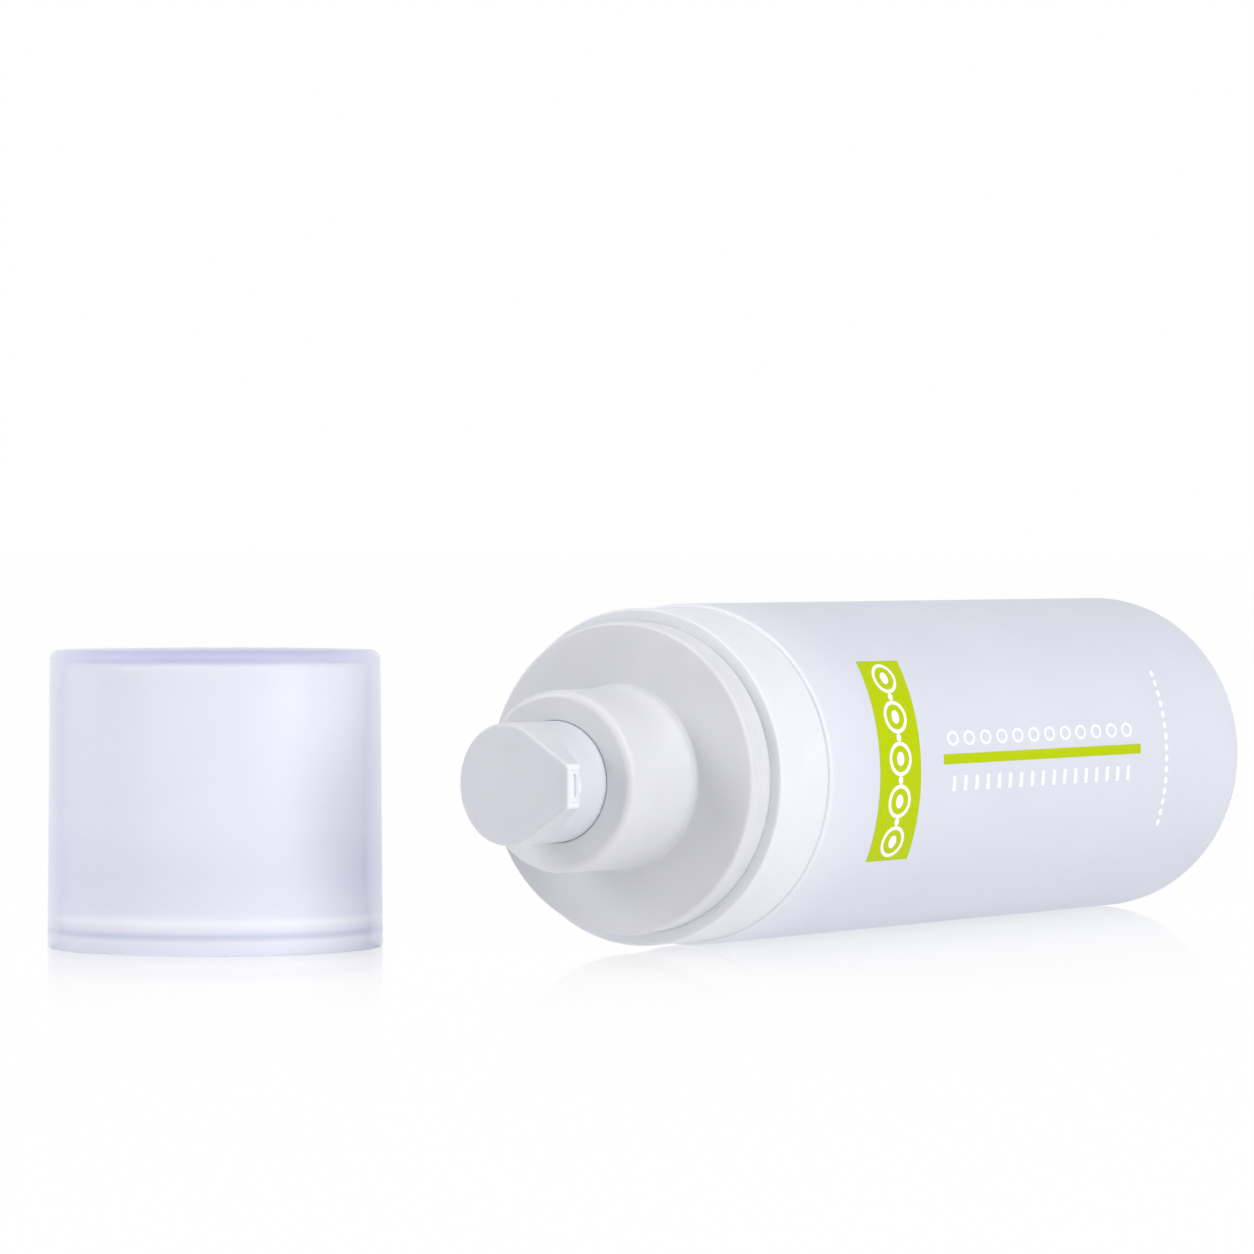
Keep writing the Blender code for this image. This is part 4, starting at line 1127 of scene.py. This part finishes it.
def make_panel():
    """A lime panel with a chain of rings round dots, and beads between them."""
    middle = ((PANEL_FROM + PANEL_TO) / 2, (PANEL_LOW + PANEL_HIGH) / 2)
    panel = plate_mark((PANEL_TO - PANEL_FROM) * degree_round, PANEL_HIGH - PANEL_LOW)
    wrapped("panel_lime", panel, LIME, 1, middle)
    count = PANEL_RING_COUNT
    pitch = (PANEL_TO - PANEL_FROM) / count
    step = (pitch, 0)
    first = (PANEL_FROM + pitch / 2, middle[1])
    first_bead = (first[0] + pitch / 2, middle[1])
    rings = ring_mark(*PANEL_RING, ON_PANEL)
    beads = disc_mark(PANEL_BEAD_RADIUS, ON_PANEL)
    centres = disc_mark(PANEL_CENTRE_RADIUS, ON_PANEL)
    wrapped("panel_rings", rings, INK_WHITE, count, first, step)
    wrapped("panel_beads", beads, INK_WHITE, count - 1, first_bead, step)
    wrapped("panel_centres", centres, INK_WHITE, count, first, step)


def make_row(name, mark, count, at):
    """A row of white marks along the bottle, beside the stripe."""
    step = (ROWS_HIGH - ROWS_LOW) / (count - 1)
    wrapped(name, mark, INK_WHITE, count, (at, ROWS_LOW), (0, step))


def make_print():
    """A lime panel, a lime stripe between two rows of marks, and an arc of dots."""
    make_panel()
    stripe_middle = (STRIPE_AT, (STRIPE_LOW + STRIPE_HIGH) / 2)
    stripe = plate_mark(STRIPE_WIDTH, STRIPE_HIGH - STRIPE_LOW)
    wrapped("stripe_lime", stripe, LIME, 1, stripe_middle)
    make_row("upper_rings", ring_mark(*UPPER_RING), UPPER_RING_COUNT, UPPER_ROW_AT)
    make_row("lower_ticks", plate_mark(TICK_LENGTH, TICK_WIDTH), TICK_COUNT, LOWER_ROW_AT)
    dots = disc_mark(ARC_DOT_RADIUS)
    wrapped("arc_dots", dots, INK_WHITE, ARC_DOT_COUNT, (ARC_FROM, ARC_HEIGHT), (ARC_STEP, 0))


# Return spring
SPRING_TURNS = 8.0
SPRING_WIRE_RADIUS = 0.4 * MM
SPRING_COIL_STEPS = 48
SPRING_WIRE_SIDES = 16


def spring_tree():
    """A round wire swept along a spiral of constant radius."""
    inputs = {
        "Turns": "Float",
        "Coil Radius": "Float",
        "Length": "Float",
        "Wire Radius": "Float",
        "Wire": "Material",
    }
    tree, entry, leave = open_tree("coil_spring", inputs)
    link = tree.links.new
    spiral = add(tree, "GeometryNodeCurveSpiral", resolution=SPRING_COIL_STEPS)
    link(entry.outputs["Turns"], spiral.inputs["Rotations"])
    link(entry.outputs["Coil Radius"], spiral.inputs["Start Radius"])
    link(entry.outputs["Coil Radius"], spiral.inputs["End Radius"])
    link(entry.outputs["Length"], spiral.inputs["Height"])
    section = add(tree, "GeometryNodeCurvePrimitiveCircle", resolution=SPRING_WIRE_SIDES)
    link(entry.outputs["Wire Radius"], section.inputs["Radius"])
    sweep = add(tree, "GeometryNodeCurveToMesh", fill_caps=True)
    link(spiral.outputs["Curve"], sweep.inputs["Curve"])
    link(section.outputs["Curve"], sweep.inputs["Profile Curve"])
    finish_tree(tree, leave, made_real(tree, sweep.outputs["Mesh"]), entry.outputs["Wire"])
    return tree


def make_spring():
    low, high = span("return_spring")
    length = high - low - 2 * SPRING_WIRE_RADIUS
    values = {
        "Turns": SPRING_TURNS,
        "Coil Radius": (HEAD_INNER_RADIUS + SOCKET_OUTER_RADIUS) / 2,
        "Length": length,
        "Wire Radius": SPRING_WIRE_RADIUS,
        "Wire": STEEL,
    }
    spring = new_piece("coil_spring", bpy.data.meshes.new("coil_spring"))
    run_tree(spring, spring_tree(), values)
    spring.data.transform(LAID_DOWN @ Matrix.Translation((0, 0, low + SPRING_WIRE_RADIUS)))
    spring.data.shade_smooth()
    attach(spring, "bottle")
    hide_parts("return_spring")
    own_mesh(spring)


# Inner pieces that keep their CAD meshes
INNER_FINISH = {
    "vessel_base": VESSEL_WHITE,
    "follower_piston": PISTON_WHITE,
    "closure_ring": PUMP_WHITE,
    "neck_gasket": GASKET,
    "pump_housing": PUMP_WHITE,
    "housing_cap": PUMP_WHITE,
    "stem": PUMP_WHITE,
    "chamber_piston": PISTON_WHITE,
    "inlet_ball": GLASS,
    "outlet_ball": GLASS,
}


def finish_inner_pieces():
    for node, material in INNER_FINISH.items():
        for slot in frame["nodes"][node].material_slots:
            slot.material = material


# Studio
CAMERA_AZIMUTH = math.radians(57)
CAMERA_PITCH = math.radians(0.7036)
CAMERA_DISTANCE = 36.446
CAMERA_RISE = 1.3146
CAMERA_OFFSET = 0.101
CAMERA_LENS = 180.77
CAMERA_SENSOR = 36
CAMERA_NEAR = 0.01
AIM_HEIGHT = 124.32 * MM
WHITE = (1.0, 1.0, 1.0, 1)
WORLD_LIGHT = 0.05
FLOOR_SIZE = 60
FLOOR_DROP = 0.02 * MM
FLOOR_GLOW = 0.65
FLOOR_WHITE = 0.99
FLOOR_SHEEN = 0.55
FLOOR_FADE = 32 * MM
FLOOR_BLUR = 0.05
PAPER = (0.9, 0.9, 0.9, 1)
LAMP_DISTANCE = 1.3

# Name, degrees to the right of the camera, degrees up, width, height and power
SOFTBOXES = [
    ("right_softbox", 48, 40, 0.7, 0.7, 7.6),
    ("right_low", 54, 12, 0.5, 0.5, 4.6),
    ("front_softbox", -5, 40, 0.35, 0.5, 1.0),
    ("left_strip", -46, 10, 0.14, 0.7, 2.1),
    ("left_softbox", -76, 34, 0.5, 0.7, 5.9),
    ("rim_softbox", -112, 20, 0.35, 0.5, 0.8),
    ("top_softbox", 12, 84, 0.7, 0.7, 2.6),
]


def make_camera():
    """The photograph's camera: its distance, rise and offset, in body radii, are from a point
    on the bottle's axis near the collar's top.
    """
    forward = Vector((math.sin(CAMERA_AZIMUTH), math.cos(CAMERA_AZIMUTH), 0))
    right = Vector((math.cos(CAMERA_AZIMUTH), -math.sin(CAMERA_AZIMUTH), 0))
    target = Vector((base_x - AIM_HEIGHT, axis_y, axis_z))
    offset = -CAMERA_OFFSET * right - CAMERA_DISTANCE * forward + Vector((0, 0, CAMERA_RISE))
    lens = bpy.data.cameras.new("camera")
    lens.sensor_width = CAMERA_SENSOR
    lens.lens = CAMERA_LENS
    lens.clip_start = CAMERA_NEAR
    camera = new_piece("camera", lens)
    camera.location = target + offset * body_radius
    camera.rotation_euler = (math.pi / 2 - CAMERA_PITCH, 0, -CAMERA_AZIMUTH)
    bpy.context.scene.camera = camera


def seen_through(tree):
    """1 for camera, glossy and transmission rays, which see the white studio."""
    path = tree.nodes.new("ShaderNodeLightPath").outputs
    seen = reckon(tree, "MAXIMUM", path["Is Camera Ray"], path["Is Glossy Ray"])
    return reckon(tree, "MAXIMUM", seen, path["Is Transmission Ray"])


def mixed(tree, factor, first, second):
    """A share of the second shader over the first."""
    mix = tree.nodes.new("ShaderNodeMixShader")
    tree.links.new(factor, mix.inputs["Fac"])
    tree.links.new(first, mix.inputs[1])
    tree.links.new(second, mix.inputs[2])
    return mix.outputs["Shader"]


def make_world():
    """A faint even light, seen as white by what looks at it or mirrors it."""
    world = bpy.data.worlds.new("studio")
    world.use_nodes = True
    tree = world.node_tree
    plain = tree.nodes["Background"]
    plain.inputs["Color"].default_value = WHITE
    plain.inputs["Strength"].default_value = WORLD_LIGHT
    white = add(tree, "ShaderNodeBackground", strength=1.0)
    white.inputs["Color"].default_value = WHITE
    both = mixed(tree, seen_through(tree), plain.outputs["Background"], white.outputs["Background"])
    tree.links.new(both, tree.nodes["World Output"].inputs["Surface"])
    bpy.context.scene.world = world


def distance_from(tree, axes, x, y):
    """Distance on the floor from a point (x, y)."""
    along = reckon(tree, "SUBTRACT", axes["X"], x)
    beside = reckon(tree, "SUBTRACT", axes["Y"], y)
    square_along = reckon(tree, "MULTIPLY", along, along)
    square_beside = reckon(tree, "MULTIPLY", beside, beside)
    return reckon(tree, "SQRT", reckon(tree, "ADD", square_along, square_beside))


def fading_sheen(tree):
    """Gloss of the paper: strongest under the bottle and the cap, and fading round them."""
    axes = object_axes(tree)
    from_cap_axis = distance_from(tree, axes, cap_middle.x, cap_middle.y)
    past_cap = reckon(tree, "SUBTRACT", from_cap_axis, collar_radius)
    from_cap = reckon(tree, "MAXIMUM", past_cap, 0.0)
    past_collar = reckon(tree, "MAXIMUM", axes["X"], base_x - collar_top)
    nearest_x = reckon(tree, "MINIMUM", past_collar, base_x - BASE_CORNER_RADIUS)
    near = reckon(tree, "MINIMUM", from_cap, distance_from(tree, axes, nearest_x, axis_y))
    falloff = reckon(tree, "EXPONENT", reckon(tree, "DIVIDE", near, -FLOOR_FADE))
    return reckon(tree, "MULTIPLY", falloff, FLOOR_SHEEN)


def paper_material():
    """White paper that keeps a faint shadow and a blurred reflection of what stands on it."""
    material, tree, shader = new_material("paper")
    tree.nodes.remove(shader)
    seen = seen_through(tree)
    matt = add(tree, "ShaderNodeBsdfDiffuse")
    matt.inputs["Color"].default_value = PAPER
    glow = add(tree, "ShaderNodeEmission")
    share = add(tree, "ShaderNodeMapRange", to_min=FLOOR_GLOW, to_max=FLOOR_WHITE)
    tree.links.new(seen, share.inputs["Value"])
    paper = mixed(tree, share.outputs["Result"], matt.outputs["BSDF"], glow.outputs["Emission"])
    sheen = add(tree, "ShaderNodeBsdfGlossy", roughness=FLOOR_BLUR)
    sheen.inputs["Color"].default_value = WHITE
    gloss = reckon(tree, "MULTIPLY", fading_sheen(tree), seen)
    coated = mixed(tree, gloss, paper, sheen.outputs["BSDF"])
    tree.links.new(coated, tree.nodes["Material Output"].inputs["Surface"])
    return material


def make_floor():
    build = bmesh.new()
    bmesh.ops.create_grid(build, x_segments=1, y_segments=1, size=FLOOR_SIZE / 2)
    bmesh.ops.translate(build, vec=(0, 0, -FLOOR_DROP), verts=build.verts)
    mesh = bpy.data.meshes.new("paper_floor")
    build.to_mesh(mesh)
    build.free()
    mesh.materials.append(paper_material())
    floor = new_piece("paper_floor", mesh)


def add_softbox(name, turn, climb, wide, tall, power):
    """A soft light, placed by its turn to the right of the camera and its climb, in degrees."""
    light = bpy.data.lights.new(name, "AREA")
    light.shape = "RECTANGLE"
    light.size = wide
    light.size_y = tall
    light.energy = power
    heading = math.radians(turn) - CAMERA_AZIMUTH - math.pi / 2
    height = math.sin(math.radians(climb))
    level = math.cos(math.radians(climb))
    way = Vector((level * math.cos(heading), level * math.sin(heading), height))
    lamp = new_piece(name, light)
    lamp.location = LAMP_DISTANCE * way
    lamp.rotation_euler = way.to_track_quat("Z", "Y").to_euler()


def make_studio():
    bpy.context.scene.view_settings.view_transform = "Standard"
    make_camera()
    make_world()
    make_floor()
    for softbox in SOFTBOXES:
        add_softbox(*softbox)


make_outer_bottle()
make_inner_vessel()
make_collar()
make_pump_cover()
make_cap()
make_head()
make_insert()
make_print()
make_spring()
finish_inner_pieces()
make_studio()
